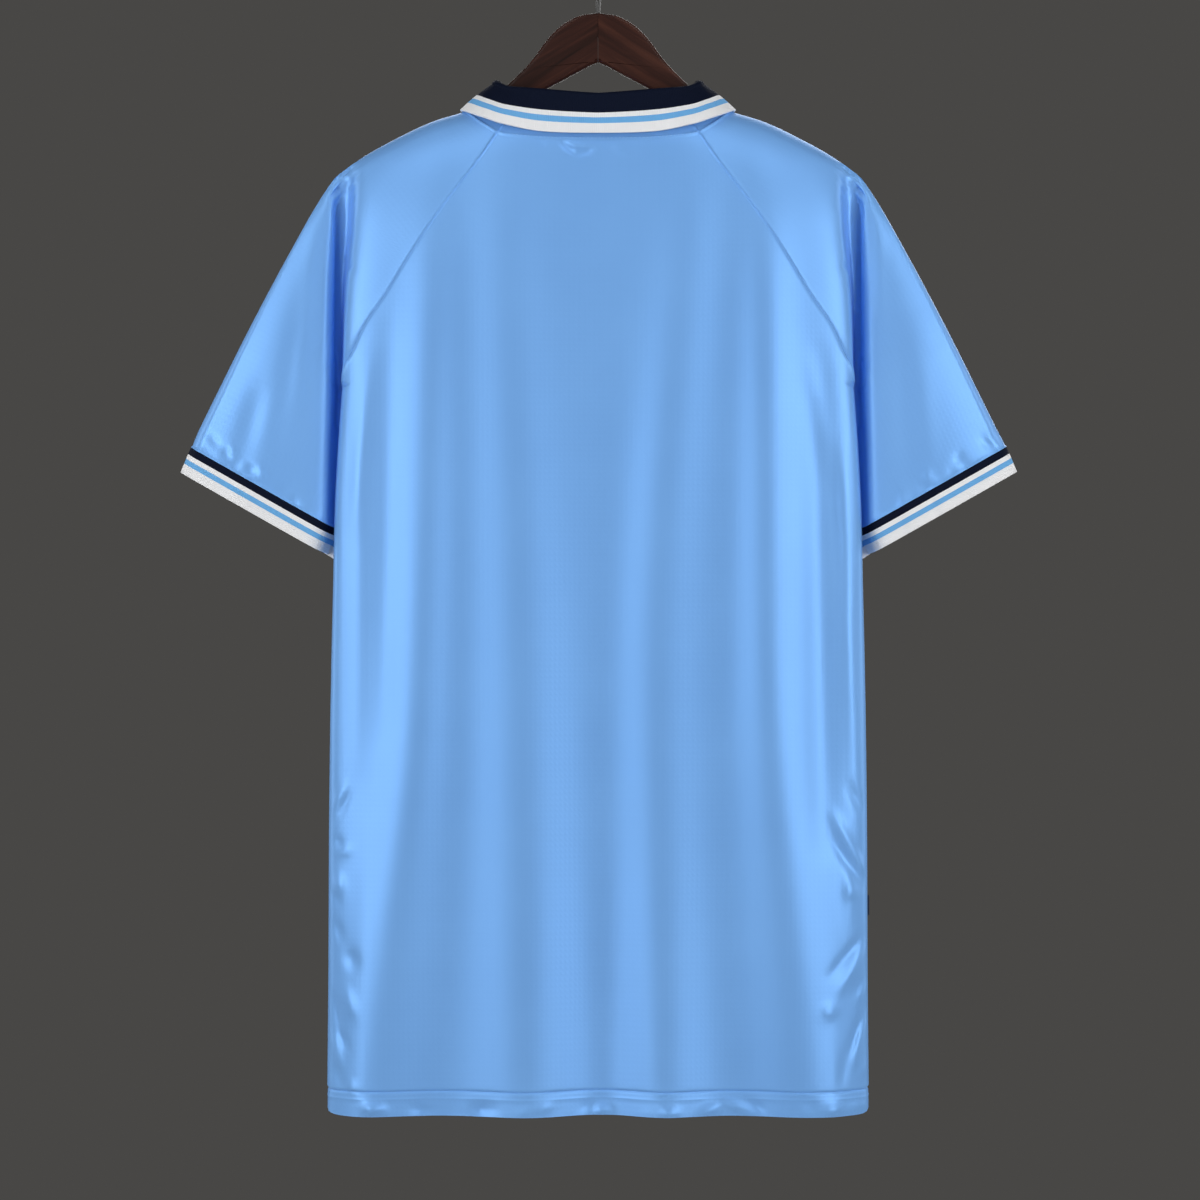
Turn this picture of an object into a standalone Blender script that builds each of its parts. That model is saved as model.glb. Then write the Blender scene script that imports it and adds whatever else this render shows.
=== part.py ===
# Short-sleeved football jersey on a flat wooden hanger.
#
# Frame: metres, +Z up. The origin is the inside top of the hook, where the rail bears.
# The back of the jersey faces -Y, the front faces +Y, and the sleeves point to +X and -X.
# Every cloth surface is one function of a place on the garment: a half width from the
# centre line, a height, and how far the back (side -1) or the front (side +1) stands out.

from collections import defaultdict, namedtuple
from math import cos, pi, radians, sin, sqrt, tan

import bmesh
import bpy
import numpy as np

# ---- driving dimensions -------------------------------------------------------------

CLOTH = 0.0012           # wall of the jersey cloth
RIB = 0.0020             # wall of the knitted collar and cuffs
SEAM_GAP = 0.0003        # between two pieces at a seam
RAGLAN_GAP = 0.0002      # level, from the raglan seam's line to each of its pieces
HEM_Z = -0.9060

RIDGE = 0.0105           # half thickness of the cloth folded over the hanger arm
FALL = 0.030             # how quickly the cloth stands away below the shoulder fold
BODY_ROUND = 3.2         # squareness of the body's section
TUBE_ROUND = 2.2         # and of the sleeve's outer edge
FOLD_FADE = 0.020        # from the side edge, where the hanging folds grow weak
FOLD_LEAST = 0.35        # share of a fold that is left at the edge
WALL_BOW = 1.6           # how the side wall curves from the edge to the side seam

VALLEY_FLOOR = 0.0030    # half depth left between back and front in the armhole fold
VALLEY_FALL = 0.018      # how quickly the shoulder fold's thickness runs out there
ARMPIT_Z = -0.3603
ARMPIT_FADE = 0.013      # above the armpit, where the armhole fold's bottom closes
FOLD_FOOT_Z = -0.3540    # where the raglan seam has run down into the armhole fold
CROTCH = 0.00145         # half the opening that the four seams leave where they meet

NECK_HALF = 0.0918       # half width of the neck at the shoulder fold
ROLL = 0.0022            # half the width of the collar's roll
LEAF_BOW = 0.0012        # how far the collar's leaf bulges
COLLAR_OPEN = 0.0004     # half the gap between the two ends at the centre front
CUFF_DROP = (0.0080, -0.0191)   # cuff seam to cuff edge: outwards, down
CUFF_TAPER = 0.06        # share of its depth that the cuff loses down to its edge
TAB = (0.0020, 0.0010, 0.0153)  # blank tab in the side seam: out, thick, tall
TAB_Z = -0.7466

HANGER_HALF = 0.0055     # half thickness of the wooden hanger
HANGER_ROUND = 0.0030
WOOD_TOP_Z = -0.0646
WIRE = 0.0036            # hook wire diameter
HOLE_PLAY = 0.0004       # round the wire in its hole
HOOK_INSIDE = 0.0200     # inside radius of the hook
HOOK_DEEP = 0.0190       # wire below the top of the wood
HOOK_NECK = 0.0060       # straight wire above it
HOOK_START, HOOK_TURN = radians(-52), radians(252)

# ---- the garment's lines, as half widths and heights ---------------------------------

LinePoint = namedtuple("LinePoint", "x z")

SHOULDER_LINE = (            # neck point, over the hanger tip, to the cuff seam
    LinePoint(0.0000, -0.0980),
    LinePoint(0.0918, -0.1355),
    LinePoint(0.1033, -0.1402),
    LinePoint(0.1247, -0.1468),
    LinePoint(0.1561, -0.1614),
    LinePoint(0.1828, -0.1767),
    LinePoint(0.2020, -0.1920),
    LinePoint(0.2127, -0.2073),
    LinePoint(0.2303, -0.2379),
    LinePoint(0.2632, -0.2991),
    LinePoint(0.3117, -0.3962),
)

RAGLAN_BACK = (              # neckline to the armpit
    LinePoint(0.0689, -0.1474),
    LinePoint(0.0906, -0.1795),
    LinePoint(0.1115, -0.2060),
    LinePoint(0.1290, -0.2310),
    LinePoint(0.1460, -0.2575),
    LinePoint(0.1615, -0.2825),
    LinePoint(0.1780, -0.3070),
    LinePoint(0.1885, -0.3320),
    LinePoint(0.1938, -0.3473),
)

RAGLAN_FRONT = (
    LinePoint(0.0660, -0.1650),
    LinePoint(0.0840, -0.1900),
    LinePoint(0.1050, -0.2130),
    LinePoint(0.1260, -0.2370),
    LinePoint(0.1440, -0.2610),
    LinePoint(0.1600, -0.2850),
    LinePoint(0.1760, -0.3090),
    LinePoint(0.1875, -0.3320),
    LinePoint(0.1938, -0.3473),
)

NECK_BACK = (                # centre back to the raglan seam
    LinePoint(0.0000, -0.1512),
    LinePoint(0.0300, -0.1507),
    LinePoint(0.0689, -0.1474),
    LinePoint(0.0830, -0.1424),
    LinePoint(0.0918, -0.1355),
)

NECK_FRONT = (
    LinePoint(0.0000, -0.2160),
    LinePoint(0.0200, -0.2090),
    LinePoint(0.0420, -0.1900),
    LinePoint(0.0660, -0.1650),
    LinePoint(0.0820, -0.1470),
    LinePoint(0.0918, -0.1355),
)

UNDERARM = (                 # armpit to the inner end of the cuff seam
    LinePoint(0.1905, -0.3603),
    LinePoint(0.1900, -0.4300),
    LinePoint(0.1897, -0.4651),
)

# One row for each level of the body: half width, depth of the side edge, and the depths
# of back and front at the centre.
BodyLevel = namedtuple("BodyLevel", "z width edge back front")
BODY_LEVELS = (
    BodyLevel(-0.090, 0.1860, 0.006, 0.0440, 0.0480),
    BodyLevel(-0.190, 0.1860, 0.010, 0.0450, 0.0500),
    BodyLevel(-0.228, 0.1870, 0.015, 0.0460, 0.0520),
    BodyLevel(-0.280, 0.1920, 0.020, 0.0470, 0.0540),
    BodyLevel(-0.347, 0.1944, 0.024, 0.0480, 0.0560),
    BodyLevel(-0.400, 0.1980, 0.024, 0.0480, 0.0560),
    BodyLevel(-0.450, 0.2005, 0.023, 0.0480, 0.0550),
    BodyLevel(-0.500, 0.2016, 0.020, 0.0480, 0.0540),
    BodyLevel(-0.560, 0.2032, 0.016, 0.0480, 0.0530),
    BodyLevel(-0.620, 0.2043, 0.014, 0.0480, 0.0520),
    BodyLevel(-0.700, 0.2052, 0.013, 0.0480, 0.0510),
    BodyLevel(-0.800, 0.2056, 0.013, 0.0490, 0.0510),
    BodyLevel(-0.906, 0.2065, 0.013, 0.0510, 0.0530),
)

# The foot of the body's side wall: the bottom of the armhole fold down to the armpit,
# then the side seam, drawn in behind the sleeve and out again below the cuff.
FOOT = (
    LinePoint(0.1965, -0.1870),
    LinePoint(0.1940, -0.1970),
    LinePoint(0.1940, -0.2280),
    LinePoint(0.1962, -0.2800),
    LinePoint(0.1970, -0.3300),
    LinePoint(0.1958, -0.3473),
    LinePoint(0.1905, -0.3603),
    LinePoint(0.1878, -0.3800),
    LinePoint(0.1866, -0.4200),
    LinePoint(0.1862, -0.4700),
    LinePoint(0.1890, -0.4950),
    LinePoint(0.1965, -0.5350),
    LinePoint(0.2020, -0.5800),
    LinePoint(0.2045, -0.6500),
    LinePoint(0.2052, -0.7500),
    LinePoint(0.2065, -0.9060),
)

# One row for each hanging fold of the body: where its crest runs at three levels, its
# half width, and how far it stands out there (a trough stands in).
Fold = namedtuple("Fold", "x_high z_high x_mid z_mid x_hem half high mid hem")
BACK_FOLDS = (
    Fold(-0.144, -0.284, -0.150, -0.560, -0.181, 0.020, 0.0015, 0.0045, 0.0110),
    Fold(-0.125, -0.322, -0.126, -0.640, -0.130, 0.017, -0.0015, -0.0050, -0.0095),
    Fold(-0.098, -0.230, -0.084, -0.560, -0.078, 0.024, 0.0020, 0.0050, 0.0115),
    Fold(0.021, -0.380, 0.012, -0.650, 0.000, 0.034, -0.0010, -0.0040, -0.0095),
    Fold(0.101, -0.230, 0.060, -0.580, 0.049, 0.024, 0.0020, 0.0050, 0.0115),
    Fold(0.116, -0.322, 0.114, -0.580, 0.099, 0.019, -0.0015, -0.0045, -0.0100),
    Fold(0.139, -0.270, 0.150, -0.570, 0.166, 0.019, 0.0015, 0.0045, 0.0105),
)
FRONT_FOLDS = (
    Fold(-0.132, -0.290, -0.146, -0.580, -0.158, 0.021, 0.0015, 0.0050, 0.0110),
    Fold(-0.104, -0.330, -0.106, -0.620, -0.108, 0.019, -0.0015, -0.0045, -0.0095),
    Fold(-0.086, -0.240, -0.066, -0.540, -0.052, 0.025, 0.0020, 0.0050, 0.0110),
    Fold(-0.008, -0.340, -0.004, -0.650, 0.004, 0.032, -0.0010, -0.0040, -0.0100),
    Fold(0.080, -0.240, 0.074, -0.560, 0.066, 0.026, 0.0020, 0.0050, 0.0115),
    Fold(0.120, -0.330, 0.122, -0.620, 0.120, 0.018, -0.0015, -0.0050, -0.0095),
    Fold(0.142, -0.280, 0.156, -0.580, 0.172, 0.020, 0.0015, 0.0045, 0.0105),
)

# One row for each stretch of the sleeve, by the height of its outer edge: half depth,
# where along a row the flat middle ends, and the form of the inner edge.
SleeveLevel = namedtuple("SleeveLevel", "z depth flat sharp close")
SLEEVE_LEVELS = (
    SleeveLevel(-0.185, 0.0100, 0.50, 4.0, 0.25),
    SleeveLevel(-0.207, 0.0125, 0.50, 4.0, 0.25),
    SleeveLevel(-0.238, 0.0165, 0.50, 4.0, 0.25),
    SleeveLevel(-0.275, 0.0215, 0.52, 4.0, 0.25),
    SleeveLevel(-0.300, 0.0245, 0.60, 3.0, 0.40),
    SleeveLevel(-0.325, 0.0260, 0.68, 1.8, 0.60),
    SleeveLevel(-0.397, 0.0280, 0.72, 1.8, 0.60),
)

# Where a sleeve row starts on the shoulder line, as a half width, for the share of the
# raglan seam that it runs to.
RowMatch = namedtuple("RowMatch", "seam shoulder")
ROW_MATCH = (
    RowMatch(0.00, 0.0918),
    RowMatch(0.25, 0.1400),
    RowMatch(0.50, 0.1930),
    RowMatch(0.62, 0.2160),
    RowMatch(0.80, 0.2460),
    RowMatch(0.93, 0.2630),
    RowMatch(1.00, 0.2730),
)
LAST_SEAM_START = 0.955      # where the last row above the armhole fold's foot starts
FOLD_FOOT_START = 0.980      # and the row that ends at that foot

# One row for each place round the neck, by its angle from the centre back: how far the
# stand rises and leans in, and how far the leaf drops and reaches out from the roll.
CollarPlace = namedtuple("CollarPlace", "angle rise lean drop reach")
COLLAR_PLACES = (
    CollarPlace(0, 0.0262, 0.0030, 0.0318, 0.0090),
    CollarPlace(35, 0.0270, 0.0060, 0.0330, 0.0130),
    CollarPlace(65, 0.0240, 0.0120, 0.0275, 0.0230),
    CollarPlace(90, 0.0180, 0.0160, 0.0205, 0.0300),
    CollarPlace(120, 0.0210, 0.0110, 0.0270, 0.0240),
    CollarPlace(150, 0.0180, 0.0050, 0.0330, 0.0150),
    CollarPlace(180, 0.0140, 0.0020, 0.0400, 0.0120),
)

# Counts of cells
SEAM_ROWS = 11               # neckline to armpit, in panels and sleeves alike
BODY_ROWS = 15               # armpit to hem
BODY_COLUMNS = 12            # centre to side edge
WALL_COLUMNS = 3             # side edge to side seam
SLEEVE_ROWS = 5              # armpit to cuff seam
SLEEVE_OUTER = 5             # shoulder fold to armhole fold
SLEEVE_INNER = 3             # armhole fold to raglan seam
SEAM_STRIP = 0.010           # beside the raglan seam, where a panel's cells are narrow
FOLD_LIP = 0.0045            # on each side of the armhole fold's bottom, in a sleeve
FOLD_WITHIN = (0.16, 0.90)   # shares of a sleeve row between which that bottom is kept
COLLAR_STEPS = 22
LEAF_STEPS = 3
NECK_SAMPLES = 120
HOOK_STEPS = 22


# ---- curves through the tables --------------------------------------------------------

def smooth(places, values):
    """A curve without overshoot through rising places."""
    places = np.array(places, float)
    values = np.array(values, float)
    steps = np.diff(places)
    slopes = np.diff(values) / steps
    tangents = np.zeros_like(values)
    tangents[0], tangents[-1] = slopes[0], slopes[-1]
    for i in range(1, len(values) - 1):
        before, after = slopes[i - 1], slopes[i]
        if before * after > 0:
            share = (steps[i - 1] + 2 * steps[i]) / (3 * (steps[i - 1] + steps[i]))
            tangents[i] = before * after / (share * after + (1 - share) * before)

    def at(place):
        place = min(max(place, places[0]), places[-1])
        i = min(max(int(np.searchsorted(places, place)) - 1, 0), len(steps) - 1)
        h = steps[i]
        t = (place - places[i]) / h
        return float(
            values[i] * (2 * t**3 - 3 * t**2 + 1)
            + values[i + 1] * (3 * t**2 - 2 * t**3)
            + h * tangents[i] * (t**3 - 2 * t**2 + t)
            + h * tangents[i + 1] * (t**3 - t**2)
        )

    return at


def by_x(line):
    return smooth([p.x for p in line], [p.z for p in line])


def down(rows, column):
    """A column of a table of levels as a curve of the height."""
    rows = sorted(rows, key=lambda row: row.z)
    return smooth([row.z for row in rows], [getattr(row, column) for row in rows])


def along(line):
    """A line as two curves of the share of its length."""
    lengths = [0.0]
    for p, q in zip(line, line[1:]):
        lengths.append(lengths[-1] + sqrt((q.x - p.x) ** 2 + (q.z - p.z) ** 2))
    shares = [length / lengths[-1] for length in lengths]
    return smooth(shares, [p.x for p in line]), smooth(shares, [p.z for p in line])


shoulder_z = by_x(SHOULDER_LINE)
neck_z = {-1: by_x(NECK_BACK), 1: by_x(NECK_FRONT)}
raglan = {-1: along(RAGLAN_BACK), 1: along(RAGLAN_FRONT)}
underarm = along(UNDERARM)
foot_x = down(FOOT, "x")
body_width = down(BODY_LEVELS, "width")
edge_depth = down(BODY_LEVELS, "edge")
centre_depth = {-1: down(BODY_LEVELS, "back"), 1: down(BODY_LEVELS, "front")}
sleeve_half = down(SLEEVE_LEVELS, "depth")
sleeve_flat = down(SLEEVE_LEVELS, "flat")
sleeve_sharp = down(SLEEVE_LEVELS, "sharp")
sleeve_close = down(SLEEVE_LEVELS, "close")
row_start = smooth([m.seam for m in ROW_MATCH], [m.shoulder for m in ROW_MATCH])


def fold_curves(folds):
    curves = []
    for f in folds:
        levels = [HEM_Z, f.z_mid, f.z_high]
        run = smooth(levels, [f.x_hem, f.x_mid, f.x_high])
        stand = smooth(levels + [f.z_high + 0.12], [f.hem, f.mid, f.high, 0.0])
        curves.append((run, stand, f.half))
    return curves


folds = {-1: fold_curves(BACK_FOLDS), 1: fold_curves(FRONT_FOLDS)}


# ---- the body's surface ---------------------------------------------------------------

def fold_depth(side, x, z):
    total = sum(stand(z) * np.exp(-(((x - run(z)) / half) ** 2)) for run, stand, half in folds[side])
    near_edge = min(1.0, max(0.0, (body_width(z) - abs(x)) / FOLD_FADE))
    return total * (FOLD_LEAST + (1 - FOLD_LEAST) * near_edge)


def over_hanger(below):
    """Half thickness of the shoulder fold at a distance below its top."""
    share = 1 - min(max(below, 0.0), RIDGE) / RIDGE
    return RIDGE * sqrt(1 - share * share)


def body_depth(side, x, z):
    """How far the back or the front stands out at a place within the body's edges."""
    share = min(abs(x) / body_width(z), 1.0)
    edge = edge_depth(z)
    lobe = (1 - share**BODY_ROUND) ** (1 / BODY_ROUND)
    full = edge + (centre_depth[side](z) - edge) * lobe + fold_depth(side, x, z)
    below = shoulder_z(abs(x)) - z
    swell = 1 - np.exp(-max(below, 0.0) / FALL)
    return over_hanger(below) + (full - RIDGE) * swell


def foot_depth(z):
    """Half depth at the foot of the side wall: the armhole fold, then the side seam."""
    if z < ARMPIT_Z - 1e-6:
        return SEAM_GAP / 2
    below = shoulder_z(foot_x(z)) - z
    fold = over_hanger(below)
    floor = max(fold * np.exp(-max(below, 0.0) / VALLEY_FALL), min(VALLEY_FLOOR, fold))
    return CROTCH + (floor - CROTCH) * min(1.0, (z - ARMPIT_Z) / ARMPIT_FADE)


def wall_point(side, across, z, down_wall):
    """A point on the side wall, from the edge (0) to its foot (1)."""
    width = body_width(z)
    edge = body_depth(side, across * width, z)
    up = 1 - down_wall
    foot = foot_x(z)
    depth = foot_depth(z)
    return foot + (width - foot) * up**WALL_BOW, depth + (edge - depth) * up


def point(side, across, x, depth, z):
    return (across * x, side * depth, z)


# ---- meshes ---------------------------------------------------------------------------

def mesh_from(name, points, quads):
    mesh = bpy.data.meshes.new(name)
    mesh.from_pydata([tuple(map(float, p)) for p in points], [], quads)
    mesh.validate()
    return mesh


def grid_quads(count_rows, count, ring=False):
    """Faces of a sheet or a tube of equal rows."""
    quads = []
    for r in range(count_rows - 1):
        for c in range(count if ring else count - 1):
            d = (c + 1) % count
            quads.append((r * count + c, (r + 1) * count + c, (r + 1) * count + d, r * count + d))
    return quads


def knit_sheet(name, rows, wall, material):
    """An open surface of rows with its wall grown inwards."""
    quads = grid_quads(len(rows), len(rows[0]))
    piece = add_object(name, mesh_from(name, [p for row in rows for p in row], quads), material)
    shell = piece.modifiers.new("wall", "SOLIDIFY")
    shell.thickness = wall
    shell.offset = -1
    shell.use_even_offset = True
    shell.use_rim = True
    piece.data.shade_smooth()
    return piece


class Sheet:
    """A cut piece of cloth: rows of outer points, and the seam that an end point lies on.

    Pieces that meet at a seam share the way their walls grow, so that a seam that runs
    over an edge is mitred and the walls don't cross.
    """

    def __init__(self, name, rows, seams, wall, material, flip=False, ring=False):
        self.name, self.seams, self.wall, self.material = name, seams, wall, material
        self.points = np.array(rows, float).reshape(-1, 3)
        self.quads = grid_quads(len(rows), len(rows[0]), ring)
        if flip:
            self.quads = [tuple(reversed(q)) for q in self.quads]
        self.around = [[] for _ in self.points]
        for quad in self.quads:
            corners = self.points[list(quad)]
            normal = np.cross(corners[2] - corners[0], corners[3] - corners[1])
            length = np.linalg.norm(normal)
            if length > 1e-12:
                for corner in quad:
                    self.around[corner].append(normal / length)


def wall_step(normals):
    """The way from an outer point to its inner point, for a wall of thickness 1."""
    mean = np.mean(normals, axis=0)
    mean /= np.linalg.norm(mean)
    facing = np.mean([max(float(np.dot(n, mean)), 0.0) for n in normals])
    return -mean / max(facing, 0.6)


def sew(sheets):
    """Give every sheet its wall, with the seams' points sharing one direction."""
    shared = defaultdict(list)
    for sheet in sheets:
        for seam, place in sheet.seams.items():
            shared[seam[:4]].append((sheet, place))
    for sheet in sheets:
        sheet.steps = [wall_step(normals) for normals in sheet.around]
    for ends in shared.values():
        step = wall_step([n for sheet, place in ends for n in sheet.around[place]])
        for sheet, place in ends:
            sheet.steps[place] = step
    for sheet in sheets:
        add_shell(sheet)


def add_shell(sheet):
    """Outer points, inner points, both faces of the wall and the rim."""
    inner = sheet.points + sheet.wall * np.array(sheet.steps)
    for place, point_out in enumerate(sheet.points):
        layer = np.sign(point_out[1])
        if layer * inner[place][1] < SEAM_GAP / 2:
            inner[place][1] = layer * min(SEAM_GAP / 2, abs(point_out[1]))
    count = len(sheet.points)
    quads = list(sheet.quads)
    quads += [tuple(count + corner for corner in reversed(q)) for q in sheet.quads]
    edges = [(a, b) for quad in sheet.quads for a, b in zip(quad, quad[1:] + quad[:1])]
    twice = set(edges)
    quads += [(b, a, a + count, b + count) for a, b in edges if (b, a) not in twice]
    mesh = mesh_from(sheet.name, np.concatenate([sheet.points, inner]), quads)
    mesh.shade_smooth()
    mesh.set_sharp_from_angle(angle=radians(60))
    add_object(sheet.name, mesh, sheet.material)


def add_object(name, data, material):
    piece = bpy.data.objects.new(name, data)
    if material and not data.materials:
        data.materials.append(material)
    jersey.objects.link(piece)
    return piece


def paint(name, colour, roughness, metallic=0.0):
    material = bpy.data.materials.new(name)
    material.use_nodes = True
    shader = material.node_tree.nodes["Principled BSDF"]
    shader.inputs["Base Color"].default_value = (*colour, 1.0)
    shader.inputs["Roughness"].default_value = roughness
    shader.inputs["Metallic"].default_value = metallic
    material.diffuse_color = (*colour, 1.0)
    return material


# ---- panels ---------------------------------------------------------------------------

def seam_share(k):
    """Share of the raglan seam at a row: its last two rows lie in the armhole fold."""
    return k / (SEAM_ROWS - 2)


def column_share(j):
    """Where a column lies between the centre and the edge: closer together at the edge."""
    return sin(0.5 * pi * j / BODY_COLUMNS) ** 0.9


def seam_panel_row(side, across, k):
    """Points of half a row that ends at the raglan seam, from the centre."""
    seam_x, seam_z = (curve(seam_share(k)) for curve in raglan[side])
    end = seam_x - RAGLAN_GAP
    strip = min(SEAM_STRIP, 0.05 * seam_x)
    lean = seam_share(k)
    places = [
        (end - strip) * ((1 - lean) * j / BODY_COLUMNS + lean * column_share(j))
        for j in range(BODY_COLUMNS + 1)
    ]
    places += [end - strip * (1 - j / WALL_COLUMNS) for j in range(1, WALL_COLUMNS + 1)]
    bend = (1 - lean) ** 1.5
    row = []
    for x in places:
        z = seam_z + (neck_z[side](x) - neck_z[side](seam_x)) * bend
        z -= SEAM_GAP / 2 if k == 0 else 0.0
        row.append(point(side, across, x, body_depth(side, across * x, z), z))
    return row


def level_panel_row(side, across, z):
    """Points of half a level row that ends at the foot of the side wall."""
    row = []
    for j in range(BODY_COLUMNS + 1):
        x = body_width(z) * column_share(j)
        row.append(point(side, across, x, body_depth(side, across * x, z), z))
    for j in range(1, WALL_COLUMNS + 1):
        x, depth = wall_point(side, across, z, j / WALL_COLUMNS)
        row.append(point(side, across, x, depth, z))
    return row


def half_panel_row(side, across, k):
    if k <= SEAM_ROWS - 2:
        return seam_panel_row(side, across, k)
    if k == SEAM_ROWS - 1:
        return level_panel_row(side, across, FOLD_FOOT_Z)
    below = ((k - SEAM_ROWS) / BODY_ROWS) ** 1.25
    return level_panel_row(side, across, ARMPIT_Z + (HEM_Z - ARMPIT_Z) * below)


def panel(name, side, material):
    rows, seams = [], {}
    width = 2 * (BODY_COLUMNS + WALL_COLUMNS) + 1
    for k in range(SEAM_ROWS + BODY_ROWS + 1):
        left = half_panel_row(side, -1, k)
        right = half_panel_row(side, 1, k)
        rows.append(list(reversed(left)) + right[1:])
        for across, column in ((-1, 0), (1, width - 1)):
            key = ("raglan", side, across, k) if k <= SEAM_ROWS else ("side", 0, across, k)
            seams[key] = k * width + column
    return Sheet(name, rows, seams, CLOTH, material, flip=side > 0)


# ---- sleeves --------------------------------------------------------------------------

def sleeve_ends(side, k):
    """Outer and inner end of a sleeve row, as half widths and heights."""
    if k <= SEAM_ROWS - 2:
        outer_x = row_start(LAST_SEAM_START * seam_share(k))
        inner_x, inner_z = (curve(seam_share(k)) for curve in raglan[side])
        return outer_x, shoulder_z(outer_x), inner_x + RAGLAN_GAP, inner_z
    if k == SEAM_ROWS - 1:
        outer_x = row_start(FOLD_FOOT_START)
        return outer_x, shoulder_z(outer_x), foot_x(FOLD_FOOT_Z) + SEAM_GAP, FOLD_FOOT_Z
    below = (k - SEAM_ROWS) / SLEEVE_ROWS
    first, last = row_start(1.0), SHOULDER_LINE[-1].x
    outer_x = first + (last - first) * below
    inner_x, inner_z = (curve(below) for curve in underarm)
    return outer_x, shoulder_z(outer_x), inner_x + SEAM_GAP, inner_z


def fold_share(ends):
    """Share of a sleeve row at which it crosses the bottom of the armhole fold."""
    outer_x, outer_z, inner_x, inner_z = ends
    share = 0.5
    for _ in range(12):
        z = outer_z + (inner_z - outer_z) * share
        share = min(max((outer_x - foot_x(z)) / (outer_x - inner_x), 0.0), 1.0)
    return share


def lobe_depth(share, outer_z, foot):
    """Half depth of the sleeve's tube, outer edge (0) to inner edge (1)."""
    half = sleeve_half(outer_z)
    flat = sleeve_flat(outer_z)
    if share <= flat:
        return half * sqrt(max(0.0, 1 - (1 - share / flat) ** TUBE_ROUND))
    turn = (share - flat) / (1 - flat)
    return foot + (half - foot) * max(0.0, 1 - turn ** sleeve_sharp(outer_z)) ** sleeve_close(outer_z)


def sleeve_half_row(side, across, k):
    """Points of half a sleeve row, shoulder fold to seam."""
    ends = sleeve_ends(side, k)
    outer_x, outer_z, inner_x, inner_z = ends
    whole_tube = k >= SEAM_ROWS - 1
    crossing = 1.0 if whole_tube else fold_share(ends)
    middle = min(max(crossing, FOLD_WITHIN[0]), FOLD_WITHIN[1])
    length = sqrt((outer_x - inner_x) ** 2 + (outer_z - inner_z) ** 2)
    lip = min(FOLD_LIP / length, 0.5 * middle, 0.5 * (1 - middle))
    shares = [(middle - lip) * (j / SLEEVE_OUTER) ** 1.5 for j in range(SLEEVE_OUTER + 1)]
    shares += [middle - 0.4 * lip, middle, middle + 0.5 * lip, middle + lip]
    inner = 1 - middle - lip
    shares += [middle + lip + inner * j / SLEEVE_INNER for j in range(1, SLEEVE_INNER + 1)]
    bend = max(0.0, 1 - seam_share(k)) ** 3
    row = []
    for share in shares:
        x = outer_x + (inner_x - outer_x) * share
        z = outer_z + (inner_z - outer_z) * share
        if bend > 0:
            straight = neck_z[side](NECK_HALF) * (1 - share) + neck_z[side](inner_x) * share
            z += (neck_z[side](NECK_HALF + (inner_x - NECK_HALF) * share) - straight) * bend
        if whole_tube:
            depth = lobe_depth(share, outer_z, foot_depth(inner_z))
        elif share < crossing:
            depth = lobe_depth(share / crossing, outer_z, foot_depth(z))
        else:
            depth = body_side_depth(side, across, x, z)
        row.append(point(side, across, x, depth, z))
    return row


def body_side_depth(side, across, x, z):
    """Depth of the body at a half width inside the armhole fold, on its face or wall."""
    width, foot = body_width(z), foot_x(z)
    if x <= width or foot <= width:
        return body_depth(side, across * x, z)
    up = min(max((foot - x) / (foot - width), 0.0), 1.0) ** (1 / WALL_BOW)
    depth = foot_depth(z)
    return depth + (body_depth(side, across * width, z) - depth) * up


def sleeve_rows(across, first, last):
    rows = []
    for k in range(first, last + 1):
        back = sleeve_half_row(-1, across, k)
        front = sleeve_half_row(1, across, k)
        rows.append(list(reversed(back)) + front[1:])
    return rows


def sleeve(name, across, material):
    rows = sleeve_rows(across, 0, SEAM_ROWS + SLEEVE_ROWS)
    rows[0] = [(x + across * SEAM_GAP / 2, y, z - SEAM_GAP / 2) for x, y, z in rows[0]]
    seams = {}
    width = len(rows[0])
    for k in range(len(rows)):
        for side, column in ((-1, 0), (1, width - 1)):
            key = ("raglan", side, across, k) if k <= SEAM_ROWS else ("underarm", 0, across, k, side)
            seams[key] = k * width + column
    for column in range(1, width - 1):
        seams["cuff", 0, across, column] = (len(rows) - 1) * width + column
    return Sheet(name, rows, seams, CLOTH, material, flip=across < 0)


def cuff(name, across, material):
    """A rib ring below the sleeve's last row, just past it."""
    edge = sleeve_rows(across, SEAM_ROWS + SLEEVE_ROWS, SEAM_ROWS + SLEEVE_ROWS)[0]
    ring = [(edge[0][0], 0.0, edge[0][2])] + edge[1:-1]
    drop_x, drop_z = CUFF_DROP
    length = sqrt(drop_x**2 + drop_z**2)
    rows = []
    for share in (1.3 * SEAM_GAP / length, 0.5, 1.0):
        rows.append([
            (x + across * drop_x * share, y * (1 - CUFF_TAPER * share), z + drop_z * share)
            for x, y, z in ring
        ])
    seams = {("cuff", 0, across, column): column for column in range(1, len(ring))}
    seams["underarm", 0, across, SEAM_ROWS + SLEEVE_ROWS] = 0
    return Sheet(name, rows, seams, RIB, material, ring=True, flip=across < 0)


# ---- collar ---------------------------------------------------------------------------

def neck_run(side):
    """The neckline from the centre to the shoulder, by the share of its length."""
    points = []
    for j in range(NECK_SAMPLES + 1):
        x = NECK_HALF * sin(0.5 * pi * j / NECK_SAMPLES)
        z = neck_z[side](x)
        points.append((x, side * body_depth(side, x, z), z))
    steps = [sqrt(sum((a - b) ** 2 for a, b in zip(p, q))) for p, q in zip(points, points[1:])]
    shares = np.concatenate([[0.0], np.cumsum(steps)]) / sum(steps)
    return shares, np.array(points)


neck_runs = {-1: neck_run(-1), 1: neck_run(1)}


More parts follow.
